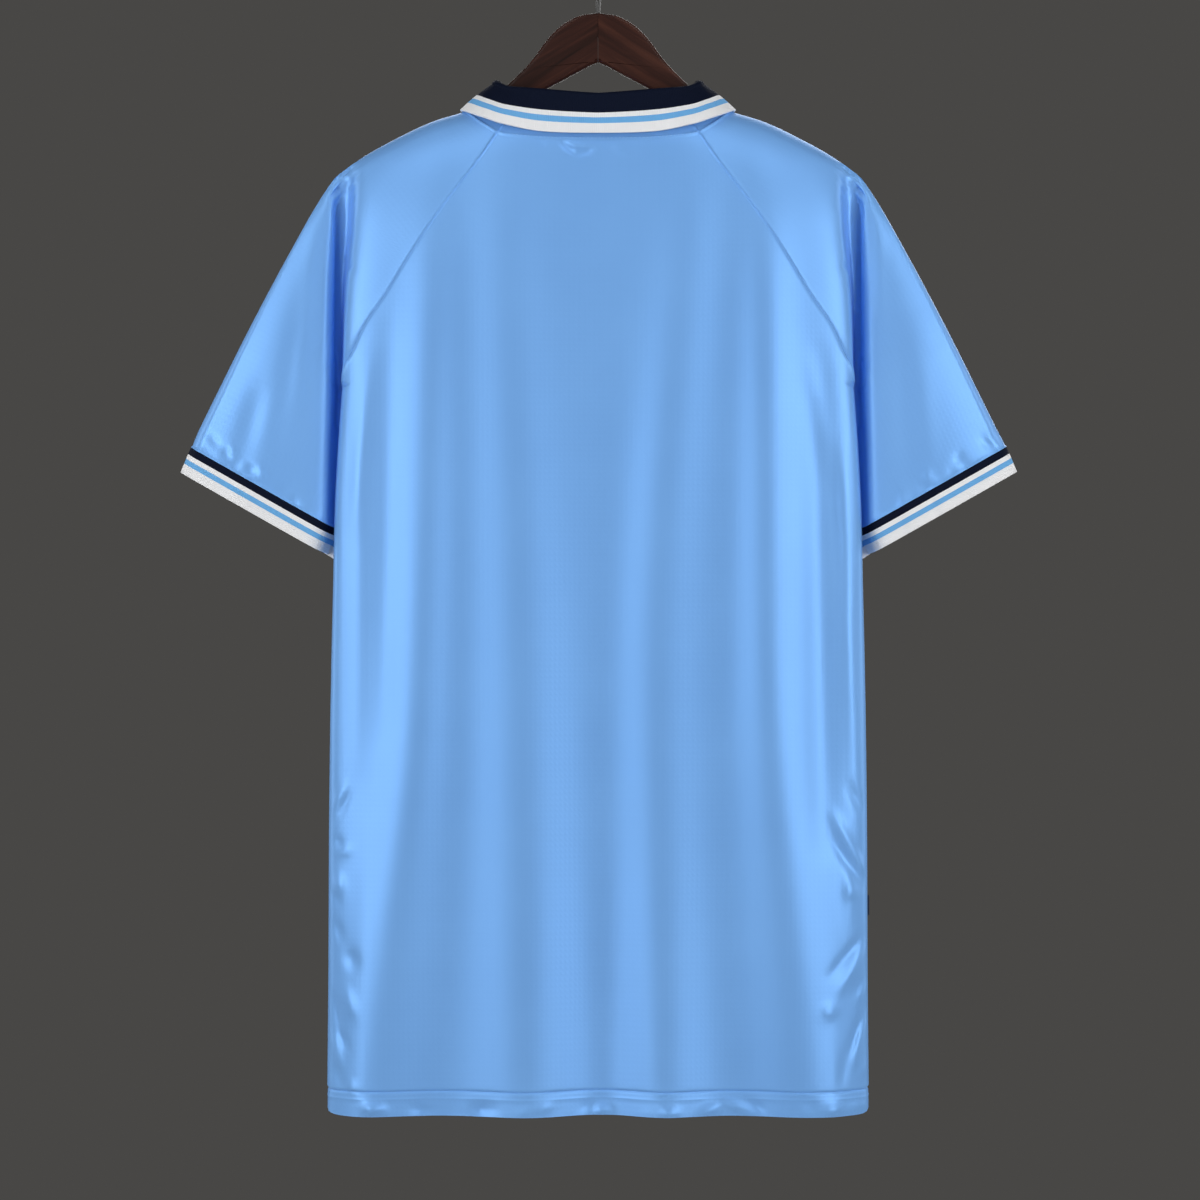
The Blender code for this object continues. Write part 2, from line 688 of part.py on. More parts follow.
def neck_place(angle):
    """A point of the neckline: 0 at the centre back, 90 at the shoulder, 180 at the front."""
    side, share = (-1, angle / 90) if angle <= 90 else (1, (180 - angle) / 90)
    shares, points = neck_runs[side]
    return [float(np.interp(share, shares, points[:, axis])) for axis in range(3)]


collar_size = {
    column: smooth([p.angle for p in COLLAR_PLACES], [getattr(p, column) for p in COLLAR_PLACES])
    for column in ("rise", "lean", "drop", "reach")
}


def collar_profile(angle, across):
    """The outer line of stand, roll and leaf at one place round the neck."""
    x, y, z = neck_place(angle)
    ahead = neck_place(min(angle + 6, 180))
    behind = neck_place(max(angle - 6, 0))
    run_x, run_y = ahead[0] - behind[0], ahead[1] - behind[1]
    length = sqrt(run_x**2 + run_y**2)
    out_x, out_y = run_y / length, -run_x / length
    if angle in (0, 180):
        out_x, out_y = 0.0, (-1.0 if angle == 0 else 1.0)
    rise, lean, drop, reach = (size(angle) for size in collar_size.values())
    top = rise - ROLL
    line = [(0.0, SEAM_GAP), (-0.5 * lean, 0.5 * rise), (-lean, top)]
    line += [(ROLL - lean, rise), (2 * ROLL - lean, top)]
    for s in np.arange(1, LEAF_STEPS + 1) / LEAF_STEPS:
        out = 2 * ROLL - lean + (reach - 2 * ROLL) * s + LEAF_BOW * sin(pi * s)
        line.append((out, top - (drop - ROLL) * s))
    return [(across * (x + out_x * out), y + out_y * out, z + up) for out, up in line]


def collar(name, material):
    angles = [180 * j / COLLAR_STEPS for j in range(COLLAR_STEPS + 1)]
    left = [collar_profile(angle, -1) for angle in angles]
    right = [collar_profile(angle, 1) for angle in angles]
    rows = list(reversed(left)) + right[1:]
    rows[0] = [(-COLLAR_OPEN, y, z) for _, y, z in rows[0]]
    rows[-1] = [(COLLAR_OPEN, y, z) for _, y, z in rows[-1]]
    return knit_sheet(name, rows, RIB, material)


# ---- hanger ---------------------------------------------------------------------------

HANGER_TOP = (               # centre to the end of the arm
    LinePoint(0.0000, WOOD_TOP_Z),
    LinePoint(0.0115, -0.0660),
    LinePoint(0.0241, -0.0714),
    LinePoint(0.0367, -0.0824),
    LinePoint(0.0520, -0.1025),
    LinePoint(0.0655, -0.1162),
    LinePoint(0.0750, -0.1250),
    LinePoint(0.0850, -0.1345),
    LinePoint(0.0930, -0.1402),
    LinePoint(0.1033, -0.1434),
    LinePoint(0.1247, -0.1491),
    LinePoint(0.1561, -0.1637),
    LinePoint(0.1790, -0.1766),
)
HANGER_END = (
    LinePoint(0.1862, -0.1825),
    LinePoint(0.1898, -0.1880),
    LinePoint(0.1890, -0.1935),
    LinePoint(0.1850, -0.1965),
)
HANGER_BELOW = (             # end of the arm back to the centre
    LinePoint(0.1650, -0.1910),
    LinePoint(0.1030, -0.1605),
    LinePoint(0.0375, -0.1216),
    LinePoint(0.0060, -0.1047),
    LinePoint(0.0000, -0.1022),
)


def flat_outline(name, outline, half):
    """The mesh of an upright plate with this outline, closed and welded."""
    curve = bpy.data.curves.new(name, "CURVE")
    curve.dimensions = "2D"
    curve.fill_mode = "BOTH"
    curve.extrude = half
    line = curve.splines.new("POLY")
    line.use_cyclic_u = True
    line.points.add(len(outline) - 1)
    for place, (x, z) in zip(line.points, outline):
        place.co = (x, z, 0.0, 1.0)
    flat = add_object(name + "_outline", curve, None)
    flat.rotation_euler = (pi / 2, 0, 0)
    bpy.context.view_layer.update()
    graph = bpy.context.evaluated_depsgraph_get()
    mesh = bpy.data.meshes.new_from_object(flat.evaluated_get(graph))
    mesh.transform(flat.matrix_world)
    bpy.data.objects.remove(flat)
    return mesh


def hanger_arm(name, across, material, cutter):
    """Half of the flat wooden hanger, cut square at the joint in the middle."""
    outline = HANGER_TOP + HANGER_END + HANGER_BELOW
    mesh = flat_outline(name, [(across * max(p.x, SEAM_GAP / 2), p.z) for p in outline], HANGER_HALF)
    shape = bmesh.new()
    shape.from_mesh(mesh)
    bmesh.ops.remove_doubles(shape, verts=shape.verts, dist=1e-6)
    bmesh.ops.recalc_face_normals(shape, faces=shape.faces)
    rounded = [
        edge for edge in shape.edges
        if edge.calc_face_angle() > radians(60)
        and abs(edge.verts[0].co.y - edge.verts[1].co.y) < SEAM_GAP
        and max(abs(v.co.x) for v in edge.verts) > SEAM_GAP
    ]
    bmesh.ops.bevel(shape, geom=rounded, offset=HANGER_ROUND, segments=2, affect="EDGES", profile=0.5)
    shape.to_mesh(mesh)
    shape.free()
    mesh.shade_smooth()
    mesh.set_sharp_from_angle(angle=radians(40))
    arm = add_object(name, mesh, material)
    cut = arm.modifiers.new("hook hole", "BOOLEAN")
    cut.operation = "DIFFERENCE"
    cut.object = cutter


def hook_hole():
    """The cutter for the hole that the hook is screwed into."""
    shape = bmesh.new()
    radius = WIRE / 2 + HOLE_PLAY
    bmesh.ops.create_cone(
        shape, cap_ends=True, segments=12, radius1=radius, radius2=radius, depth=2 * (HOOK_DEEP + 0.001)
    )
    mesh = bpy.data.meshes.new("hook_hole")
    shape.to_mesh(mesh)
    shape.free()
    cutter = bpy.data.objects.new("hook_hole", mesh)
    cutter.location = (0, 0, WOOD_TOP_Z)
    cutter.hide_render = True
    cutter.display_type = "WIRE"
    cutters.objects.link(cutter)
    return cutter


def hook(name, material):
    """Wire from the wood up, round over the rail and down to a blunt end."""
    radius = HOOK_INSIDE + WIRE / 2
    bow = [
        (radius * cos(turn), radius * sin(turn) - HOOK_INSIDE)
        for turn in np.linspace(HOOK_START, HOOK_START + HOOK_TURN, HOOK_STEPS + 1)
    ]
    neck_top = WOOD_TOP_Z + HOOK_NECK
    points = [(0.0, WOOD_TOP_Z - HOOK_DEEP), (0.0, WOOD_TOP_Z), (0.0, neck_top)]
    bow_x, bow_z = bow[0]
    corner_z = bow_z + bow_x / tan(HOOK_START)
    for t in (0.2, 0.4, 0.6, 0.8):     # out of the neck into the bow
        z = neck_top * (1 - t) ** 2 + 2 * corner_z * t * (1 - t) + bow_z * t**2
        points.append((bow_x * t**2, z))
    curve = bpy.data.curves.new(name, "CURVE")
    curve.dimensions = "3D"
    curve.bevel_depth = WIRE / 2
    curve.bevel_resolution = 2
    curve.use_fill_caps = True
    wire = curve.splines.new("POLY")
    wire.points.add(len(points) + len(bow) - 1)
    for place, (x, z) in zip(wire.points, points + bow):
        place.co = (x, 0.0, z, 1.0)
    add_object(name, curve, material)


def side_tab(name, material):
    """A small blank tab that stands out of the right side seam."""
    out, thick, tall = TAB
    shape = bmesh.new()
    bmesh.ops.create_cube(shape, size=1.0)
    bmesh.ops.scale(shape, verts=shape.verts, vec=(out, thick, tall))
    mesh = bpy.data.meshes.new(name)
    shape.to_mesh(mesh)
    shape.free()
    tab = add_object(name, mesh, material)
    tab.location = (foot_x(TAB_Z) + SEAM_GAP + out / 2, 0.0, TAB_Z)


# ---- the object -----------------------------------------------------------------------

for old in list(bpy.data.objects):
    bpy.data.objects.remove(old)

jersey = bpy.data.collections.new("football_jersey")
bpy.context.scene.collection.children.link(jersey)
cutters = bpy.data.collections.new("cutters")
bpy.context.scene.collection.children.link(cutters)

sky_cloth = paint("sky_cloth", (0.19, 0.44, 0.83), 0.45)
rib_knit = paint("rib_knit", (0.86, 0.87, 0.90), 0.75)
dark_wood = paint("dark_wood", (0.045, 0.012, 0.008), 0.40)
black_wire = paint("black_wire", (0.01, 0.01, 0.01), 0.35, 0.9)
navy_tape = paint("navy_tape", (0.003, 0.008, 0.035), 0.70)

sheets = [panel("back_panel", -1, sky_cloth), panel("front_panel", 1, sky_cloth)]
for hand, across in (("left", -1), ("right", 1)):
    sheets.append(sleeve("sleeve_" + hand, across, sky_cloth))
    sheets.append(cuff("cuff_" + hand, across, rib_knit))
sew(sheets)
collar("collar", rib_knit)
side_tab("side_tab", navy_tape)
hole = hook_hole()
hanger_arm("hanger_arm_left", -1, dark_wood, hole)
hanger_arm("hanger_arm_right", 1, dark_wood, hole)
hook("hanger_hook", black_wire)
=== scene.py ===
# Football jersey on a wooden hanger: cloth, rib, sewing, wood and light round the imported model
from math import atan2, cos, pi, radians, sin

import bmesh
import bpy
import numpy as np
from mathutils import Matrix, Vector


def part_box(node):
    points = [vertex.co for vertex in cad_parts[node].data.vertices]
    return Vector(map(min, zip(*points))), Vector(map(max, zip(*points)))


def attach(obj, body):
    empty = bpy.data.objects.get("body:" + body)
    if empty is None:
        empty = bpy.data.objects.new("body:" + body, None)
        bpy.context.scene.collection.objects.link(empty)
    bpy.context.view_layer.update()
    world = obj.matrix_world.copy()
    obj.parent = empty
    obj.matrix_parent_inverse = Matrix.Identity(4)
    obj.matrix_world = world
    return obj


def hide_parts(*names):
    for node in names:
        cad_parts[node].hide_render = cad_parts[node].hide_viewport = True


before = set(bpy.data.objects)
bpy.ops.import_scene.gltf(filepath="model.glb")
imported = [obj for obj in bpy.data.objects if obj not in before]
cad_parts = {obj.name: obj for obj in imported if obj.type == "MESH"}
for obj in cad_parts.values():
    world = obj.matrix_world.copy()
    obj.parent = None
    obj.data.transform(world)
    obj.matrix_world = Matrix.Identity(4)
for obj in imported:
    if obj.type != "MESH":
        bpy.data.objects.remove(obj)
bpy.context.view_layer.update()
print("frame loaded,", len(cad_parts), "nodes")

mm = 0.001      # lines, body levels, folds and creases are in millimetres, all else in metres

# the cut and hang of the whole jersey; x is a half width from the centre line
garment = {
    "seamGap": 0.0003, "raglanGap": 0.0002, "clothThick": 0.001, "ribThick": 0.0018,
    "hemZ": -0.906, "armpitZ": -0.3603, "foldFootZ": -0.354,
    "ridge": 0.0105,          # half thickness where the cloth folds over the hanger
    "fall": 0.03,             # how fast it stands away below that
    "bodyRound": 3.9, "tubeEdge": 0.07, "tubeCrown": 0.36,
    "wallBow": 1.6, "foldBow": 0.35,    # how the side wall bows below the armpit and in the armhole fold
    "sleeveFold": 0.2012,     # where the sleeve's own edge hangs over the armhole fold
    "foldFade": 0.03, "foldLeast": 0.35, "foldRise": 0.12, "foldBroad": 1.15,
    "creaseEnds": 0.25, "creaseFull": 0.8, "creaseTop": 0.02, "bowFade": 0.03,
    "valleyFloor": 0.003, "valleyFall": 0.018, "armpitFade": 0.013, "crotch": 0.00145,
    "neckHalf": 0.0918, "neckFade": 1.5, "sleeveNeckFade": 3,   # how soon rows leave the neckline's form
    "shoulder": [(0, -98), (91.8, -135.5), (103.3, -140.2), (124.7, -146.8), (156.1, -161.4),
                 (182.8, -176.7), (202, -192), (212.7, -207.3), (230.3, -237.9), (263.2, -299.1),
                 (311.7, -396.2)],
    "raglanBack": [(68.9, -147.4), (90.6, -179.5), (111.5, -206), (129, -231), (146, -257.5),
                   (161.5, -282.5), (178, -307), (188.5, -332), (193.8, -347.3)],
    "raglanFront": [(66, -165), (84, -190), (105, -213), (126, -237), (144, -261), (160, -285),
                    (176, -309), (187.5, -332), (193.8, -347.3)],
    "neckBack": [(0, -151.2), (30, -150.7), (68.9, -147.4), (83, -142.4), (91.8, -135.5)],
    "neckFront": [(0, -216), (20, -209), (42, -190), (66, -165), (82, -147), (91.8, -135.5)],
    "underarm": [(190.5, -360.3), (190, -430), (189.7, -465.1)],
    # height, half width, depth at the side, depth of back and of front at the centre
    "levels": [(-906, 206.5, 13, 51, 53), (-800, 205.6, 13, 49, 51), (-700, 205.2, 13, 48, 51),
               (-620, 204.3, 14, 48, 52), (-560, 203.2, 16, 48, 53), (-500, 201.6, 20, 48, 54),
               (-450, 200.5, 23, 48, 55), (-400, 198, 24, 48, 56), (-347, 194.4, 24, 48, 56),
               (-280, 192, 20, 47, 54), (-228, 187, 15, 46, 52), (-190, 186, 10, 45, 50),
               (-90, 186, 6, 44, 48)],
    # the bottom of the armhole fold, then the side seam
    "foot": [(196.5, -187), (194, -197), (194, -228), (196.2, -280), (197, -330), (195.8, -347.3),
             (190.5, -360.3), (187.8, -380), (186.6, -420), (186.2, -470), (189, -495), (196.5, -535),
             (202, -580), (204.5, -650), (205.2, -750), (206.5, -906)],
    # height of the outer edge, half depth, where the flat ends, form of the inner edge
    "sleeveLevels": [(-0.397, 0.028, 0.5, 9.0, 0.34), (-0.325, 0.026, 0.5, 9.0, 0.32),
                     (-0.3, 0.0245, 0.5, 8.0, 0.3), (-0.275, 0.0215, 0.5, 6.0, 0.28),
                     (-0.238, 0.0165, 0.5, 4.0, 0.25), (-0.207, 0.0125, 0.5, 4.0, 0.25),
                     (-0.185, 0.01, 0.5, 4.0, 0.25)],
    # share of the raglan seam, and where on the shoulder the row that runs to it starts
    "rowStarts": [(0.0, 0.0918), (0.25, 0.14), (0.5, 0.193), (0.62, 0.216), (0.8, 0.246), (0.93, 0.263),
                  (1.0, 0.273)],
    "lastSeamStart": 0.955, "foldFootStart": 0.98,
}
hemZ, armpitZ = garment["hemZ"], garment["armpitZ"]

# hanging folds: x and height of the crest high up, x and height in the middle, x at the hem,
# half width high up and at the hem, and how far it stands out at the three
hangingFolds = {
    -1: [(-126, -284, -138, -600, -181, 20, 42, 3.8, 6.8, 9.2),
         (-110, -300, -104, -640, -124, 18, 34, -0.6, -1, -2.2),
         (-70, -230, -58, -560, -54, 26, 36, 3.4, 6.2, 9.4),
         (10, -320, 12, -650, 6, 32, 34, -1.8, -4.8, -7.8),
         (68, -230, 42, -580, 47, 24, 32, 3.2, 6.2, 9.8),
         (104, -300, 96, -600, 106, 20, 34, -0.4, -0.6, -2.6),
         (127, -270, 130, -570, 163, 20, 43, 5, 8, 10.2)],
    1: [(-132, -290, -146, -580, -158, 21, 33, 1.5, 4.8, 10),
        (-104, -330, -106, -620, -108, 18, 26, -1.4, -3.6, -6),
        (-86, -240, -66, -540, -52, 25, 32, 2, 4.6, 8.8), (-8, -340, -4, -650, 4, 32, 34, -1, -3.8, -7.5),
        (80, -240, 74, -560, 66, 26, 33, 2, 4.6, 9.2), (120, -330, 122, -620, 120, 18, 27, -1.4, -4, -6),
        (142, -280, 156, -580, 172, 20, 32, 1.5, 4.4, 9.8)],
}
# smaller creases, each from one point to another: x, z, x, z, half width, stand (a trough below 0)
smallCreases = {
    # right edge, below the tab
    -1: [(203, -766.5, 175, -799, 3.2, -2.1), (203, -779.5, 182, -812, 4, 2.1),
         (203.5, -798, 195, -812, 2.2, -1.5), (204, -808, 197, -819, 2.2, 1.1),
         (203.5, -822, 190, -858, 2.6, -2.1), (202, -835, 193, -870, 2.8, 1.5),
         (171, -830, 179, -822, 4.8, 1.5), (187, -858, 184, -884, 4, -1.1),
         (199, -877, 204, -867, 2.4, 1.1),
         # right edge, above the tab
         (177, -675.5, 201, -718, 4, 2.3), (178, -695, 200, -730.5, 4, -2.5),
         (198, -703, 205, -715, 1.8, -1.4), (197, -711, 205, -724, 1.8, 1.1),
         (190, -731, 194, -740.5, 5.2, 1.9), (190, -712, 191, -765, 5.6, 1.5),
         (191, -655, 200, -675.5, 4, -2.1),
         # left edge
         (-201, -812, -194, -845, 3, -1.9), (-196, -842, -190, -854.5, 2.6, -2.1),
         (-202, -845, -195, -868, 3.2, 1.6), (-192, -808, -184, -831, 4.8, 1.9),
         (-188, -779.5, -184, -795, 5.2, -2.1), (-199, -758, -195, -772, 3.2, -1.6),
         (-198, -723, -195, -737, 4.4, 2.1), (-202, -737, -196, -745, 2.4, -1.2),
         (-200, -695, -193, -701.5, 2.8, -1.5), (-197, -706, -187, -703, 3.6, 1.4),
         (-191, -655, -201, -674, 3.6, 1.6), (-188, -659, -197, -678, 3.2, -1.4),
         (-200, -868, -193.5, -885, 3.2, -1.4), (-188, -879, -184, -888, 4, 1.2),
         # under the collar
         (-29, -166.5, -17, -175.5, 2.6, -1.6), (-17, -176, -4, -173, 2.6, -1.4),
         (-24, -167, -10, -170, 2.4, 1), (12, -168, 22, -176, 4, -0.6), (-46, -164, -40, -170, 3, -0.5),
         # the rolled edges below the armholes
         (-180, -330, -183, -640, 6.5, 1), (-158, -300, -162, -620, 9, -1.3),
         (184, -400, 197, -680, 6, 1.8), (166, -330, 172, -700, 12, -4.2),
         # beside the armholes
         (178, -400, 186, -520, 6, -1.6), (160, -330, 176, -420, 7, 1.2),
         (-172, -330, -184, -460, 6, 1.2)],
    1: [(14, -232, 34, -256, 4.5, -1), (-16, -234, -30, -262, 4.5, -1), (150, -330, 176, -440, 7, -1.4),
        (-160, -340, -180, -450, 6, 1.3)],
}
# the front's edges crease like the back's, a little higher and each on the other hand
smallCreases[1] += [(-x0, z0 + 11, -0.995 * x1, z1 + 16, half, 0.9 * stand)
                    for x0, z0, x1, z1, half, stand in smallCreases[-1] if abs(x0) > 165]
# on the back and the front of each sleeve: x from the centre line, z, x, z, half width, stand
sleeveCreases = {
    -1: [(216, -230, 230, -370, 6.5, 0.6), (224, -270, 244, -390, 7, -0.6),
         (256, -350, 272, -408, 9, -1.8), (288, -396, 296, -388, 3, -1),
         (281, -407, 284, -398, 3.2, -1.2), (276, -404, 279, -396, 2.6, 0.8),
         (262, -419, 266, -409, 3, -1.1), (254, -421, 257, -412, 2.8, 0.9),
         (206, -215, 209, -330, 4, 0.8),
         (170, -190, 176, -230, 6, 0.8)],
    1: [(212, -210, 216, -300, 5, 0.8), (230, -300, 236, -420, 9, -0.5), (244, -330, 252, -412, 9, 0.6),
        (292, -392, 300, -398, 3, -1.1), (294, -387, 302, -393, 2.6, 0.7),
        (272, -410, 276, -400, 3.2, -0.6), (248, -424, 251, -414, 3, 0.7),
        (170, -190, 176, -230, 6, 0.8)],
}
hem = {
    "tall": 0.019, "stitchUp": 0.0132, "lift": 0.003, "follow": 0.09,
    "ridgeStand": 0.001, "ridgeHalf": 0.0009, "double": 0.0004, "doubleFade": 0.0004,
    "grooveDeep": 0.00028, "grooveHalf": 0.0008,
    "cornerLift": 0.0035, "cornerWide": 0.0035, "cornerTall": 0.006,
    "puckers": 34, "pucker": 0.0032, "puckerReach": 0.2, "puckerLean": 0.7, "puckerHalf": (0.0042, 0.0075),
    "puckerStand": (-1.0, 0.8), "puckerUp": (0.002, 0.008), "puckerTall": 0.005,
    # rows of points about the turned edge, the stitches and the fold, in millimetres
    "topRows": [2.4, 1.6, 1.0, 0.5, 0, -0.5, -1.0, -1.8, -3.0, -4.2], "stitchRows": [0.5, 0, -0.5],
    "foldRows": [11.0, 9.4, 7.8, 6.2, 4.6, 3.2, 2.0, 1.1, 0.5, 0.15, 0], "rowsEnd": 0.004, "rowSpread": 0.72,
}
# how a seam pulls the edges of its pieces down, and the fine strip of points beside it
seam = {"deep": 0.0009, "wide": 0.001, "strip": 0.01, "stripShare": 0.05, "long": 0.245, "turn": 0.9,
        "onWall": 0.008, "wallLong": 0.022}     # half its gap on the side wall as a share, and that wall
neckSeam = {"below": 0.0135, "groove": 0.0011, "wide": 0.0011}   # the stitching under the collar
stitches = {"hem": {"pitch": 0.0032, "long": 0.0024, "wide": 0.00028},
            "neck": {"pitch": 0.003, "long": 0.0021, "wide": 0.00032}}
# the form of one stitch: places along it, how full it is there, and its height over the cloth
stitchForm = {"places": (0, 0.3, 0.7, 1), "full": (0.35, 1, 1, 0.35), "low": 0.15, "high": 0.75}
# how the cuff's seam gathers the sleeve above it
gather = {"count": 46, "deep": 0.0012, "round": 0.145, "lean": 0.5, "half": (0.0028, 0.0065),
          "stand": (-1.0, 0.9), "tall": (0.004, 0.015), "corner": (0.19, -0.465), "slope": 29.5,
          "tubeLong": 0.105, "pullDeep": 0.0008, "pullTall": 0.0016}


def curveThrough(places, values):       # a curve without overshoot through rising places
    xs, ys = np.array(places, float), np.array(values, float)
    steps = np.diff(xs)
    slopes = np.diff(ys) / steps
    tangents = np.zeros_like(ys)
    tangents[0], tangents[-1] = slopes[0], slopes[-1]
    for i in range(1, len(ys) - 1):
        if slopes[i - 1] * slopes[i] > 0:
            share = (steps[i - 1] + 2 * steps[i]) / (3 * (steps[i - 1] + steps[i]))
            tangents[i] = slopes[i - 1] * slopes[i] / (share * slopes[i] + (1 - share) * slopes[i - 1])

    def at(place):
        place = np.clip(np.asarray(place, float), xs[0], xs[-1])
        i = np.clip(np.searchsorted(xs, place) - 1, 0, len(steps) - 1)
        h = steps[i]
        t = (place - xs[i]) / h
        return (ys[i] * (2 * t**3 - 3 * t**2 + 1) + ys[i + 1] * (3 * t**2 - 2 * t**3)
                + h * tangents[i] * (t**3 - 2 * t**2 + t) + h * tangents[i + 1] * (t**3 - t**2))
    return at


def lengthsTo(points):      # how far along a line each of its points lies
    return np.concatenate([[0], np.cumsum(np.linalg.norm(np.diff(points, axis=0), axis=1))])


def pointAt(place, lengths, points):
    return np.array([np.interp(place, lengths, points[:, axis]) for axis in range(3)])


def bell(away, half):
    return np.exp(-((away / half) ** 2))


def eased(share):
    return share**2 * (3 - 2 * share)


def lineCurves(line):       # a line as two curves of the share of its length
    points = np.array(line) * mm
    lengths = lengthsTo(points)
    return [curveThrough(lengths / lengths[-1], points[:, axis]) for axis in (0, 1)]


def columns(rows, unit=1):      # every column of a table after the first, as a curve of the first
    table = np.array(sorted(rows)) * unit
    return [curveThrough(table[:, 0], table[:, c]) for c in range(1, table.shape[1])]


shoulderZ, = columns(garment["shoulder"], mm)
neckZ = {-1: columns(garment["neckBack"], mm)[0], 1: columns(garment["neckFront"], mm)[0]}
raglan = {-1: lineCurves(garment["raglanBack"]), 1: lineCurves(garment["raglanFront"])}
underarm = lineCurves(garment["underarm"])
footX, = columns([(z, x) for x, z in garment["foot"]], mm)
bodyWidth, edgeDepth, backCentre, frontCentre = columns(garment["levels"], mm)
centreDepth = {-1: backCentre, 1: frontCentre}
sleeveHalf, sleeveFlat, sleeveSharp, sleeveClose = columns(garment["sleeveLevels"])
rowStart, = columns(garment["rowStarts"])


def foldCurves(rows):
    made = []
    for xHigh, zHigh, xMid, zMid, xHem, halfHigh, halfHem, high, mid, low in np.array(rows) * mm:
        levels = [hemZ, zMid, zHigh]
        run = curveThrough(levels, [xHem, xMid, xHigh])
        half = curveThrough(levels, [halfHem, garment["foldBroad"] * halfHigh, halfHigh])
        stand = curveThrough(levels + [zHigh + garment["foldRise"]], [low, mid, high, 0.0])
        made.append((run, stand, half))
    return made


folds = {side: foldCurves(rows) for side, rows in hangingFolds.items()}


def creaseHeight(creases, x, z):
    total, ends = np.zeros(np.broadcast(x, z).shape), garment["creaseEnds"]
    for x0, z0, x1, z1, half, stand in np.array(creases) * mm:
        runX, runZ = x1 - x0, z1 - z0
        share = ((x - x0) * runX + (z - z0) * runZ) / (runX**2 + runZ**2)
        held = np.clip(share, 0, 1)
        away = (x - x0 - held * runX) ** 2 + (z - z0 - held * runZ) ** 2
        along = ends + (1 - ends) * np.sin(pi * held) ** garment["creaseFull"]
        total += stand * np.exp(-away / half**2) * along
    return total


def foldHeight(side, x, z):
    total = sum(stand(z) * bell(x - run(z), half(z)) for run, stand, half in folds[side])
    nearEdge = eased(np.clip((bodyWidth(z) - abs(x)) / garment["foldFade"], 0, 1))
    return total * (garment["foldLeast"] + (1 - garment["foldLeast"]) * nearEdge)


def overHanger(below):
    share = 1 - np.clip(below, 0, garment["ridge"]) / garment["ridge"]
    return garment["ridge"] * np.sqrt(1 - share**2)


def bodyDepth(side, x, z):      # how far the back (-1) or the front (1) stands out
    share = np.minimum(abs(x) / bodyWidth(z), 1)
    lobe = (1 - share ** garment["bodyRound"]) ** (1 / garment["bodyRound"])
    edge = edgeDepth(z)
    full = edge + (centreDepth[side](z) - edge) * lobe + foldHeight(side, x, z)
    below = shoulderZ(abs(x)) - z
    swell = 1 - np.exp(-np.maximum(below, 0) / garment["fall"])
    creases = creaseHeight(smallCreases[side], x, z) * np.clip(below / garment["creaseTop"], 0, 1)
    return overHanger(below) + (full - garment["ridge"]) * swell + creases


def footDepth(z):       # half depth at the foot of the side wall: the armhole fold, then the side seam
    z = np.asarray(z, float)
    below = shoulderZ(footX(z)) - z
    fold = overHanger(below)
    floor = np.maximum(fold * np.exp(-np.maximum(below, 0) / garment["valleyFall"]),
                       np.minimum(garment["valleyFloor"], fold))
    fade = np.clip((z - armpitZ) / garment["armpitFade"], 0, 1)
    inFold = garment["crotch"] + (floor - garment["crotch"]) * fade
    return np.where(z < armpitZ - 1e-6, garment["seamGap"] / 2, inFold)


def wallPower(z):
    share = np.clip((z - armpitZ) / garment["bowFade"] + 1, 0, 1)
    return garment["wallBow"] + (garment["foldBow"] - garment["wallBow"]) * share


def place(side, across, x, depth, z):
    return np.stack([across * x, side * depth, z + 0 * x], axis=-1)


def onBody(side, across, x, z):
    return place(side, across, x, bodyDepth(side, across * x, z), z)


grid = {"columns": 84, "seamRows": 44, "bodyRows": 142, "sleeveOuter": 58, "sleeveRows": 44}
stripPlaces = np.array([0.66, 0.4, 0.22, 0.13, 0.07, 0.03, 0.0])   # beside a seam, 0 on it
neckRows = np.linspace(0, 0.115, 32)        # shares of the raglan seam beside the neckline
seamShares = np.concatenate([neckRows, np.linspace(0.115, 1, grid["seamRows"])[1:]])
evenPlaces = np.linspace(0, 1, grid["columns"] + 1)
edgePlaces = 0.7 * evenPlaces + 0.3 * np.sin(0.5 * pi * evenPlaces)


def hemRows():      # heights from the armpit to the hem, close together at the turned hem
    turned = hemZ + hem["tall"]
    share = np.linspace(0, 1, grid["bodyRows"]) ** hem["rowSpread"]
    close = [level + np.array(hem[rows]) * mm for level, rows in
             ((turned, "topRows"), (hemZ + hem["stitchUp"], "stitchRows"), (hemZ, "foldRows"))]
    return np.concatenate([armpitZ + (turned + hem["rowsEnd"] - armpitZ) * share] + close)


def mixRows(before, after, count):
    return [before + (after - before) * t for t in np.arange(1, count + 1) / (count + 1)]


seamSteps = np.arange(1, 9) / 9     # rows in which the raglan seam goes down the wall into the armpit


def wallPoint(side, across, z, up):     # a point of the side wall, up from its foot (0) to the face (1)
    width, foot = bodyWidth(z), footX(z)
    x = foot + (width - foot) * up ** wallPower(z)
    return x, footDepth(z) + (bodyDepth(side, across * width, z) - footDepth(z)) * up


def seamRow(side, across, t):       # a row whose end lies the share t of the way down the wall
    z = raglan[side][1](1.0) * (1 - t) + garment["foldFootZ"] * t
    width = bodyWidth(z)
    faceLong = seam["strip"] * (1 - t)
    wallLong = float(bodyDepth(side, across * width, z) - footDepth(z))
    fromEnd = (faceLong + wallLong * t) * stripPlaces
    down = np.maximum(wallLong * t - fromEnd, 0) / wallLong
    wallX, wallDepth = wallPoint(side, across, z, np.minimum(1 - down + seam["onWall"], 1))
    faceX = width - np.maximum(fromEnd - wallLong * t, 0)
    stripX = np.where(down > 0, wallX, faceX)
    stripDepth = np.where(down > 0, wallDepth, bodyDepth(side, across * faceX, z))
    x = (width - faceLong) * edgePlaces
    return np.concatenate([onBody(side, across, x, z), place(side, across, stripX, stripDepth, z)])


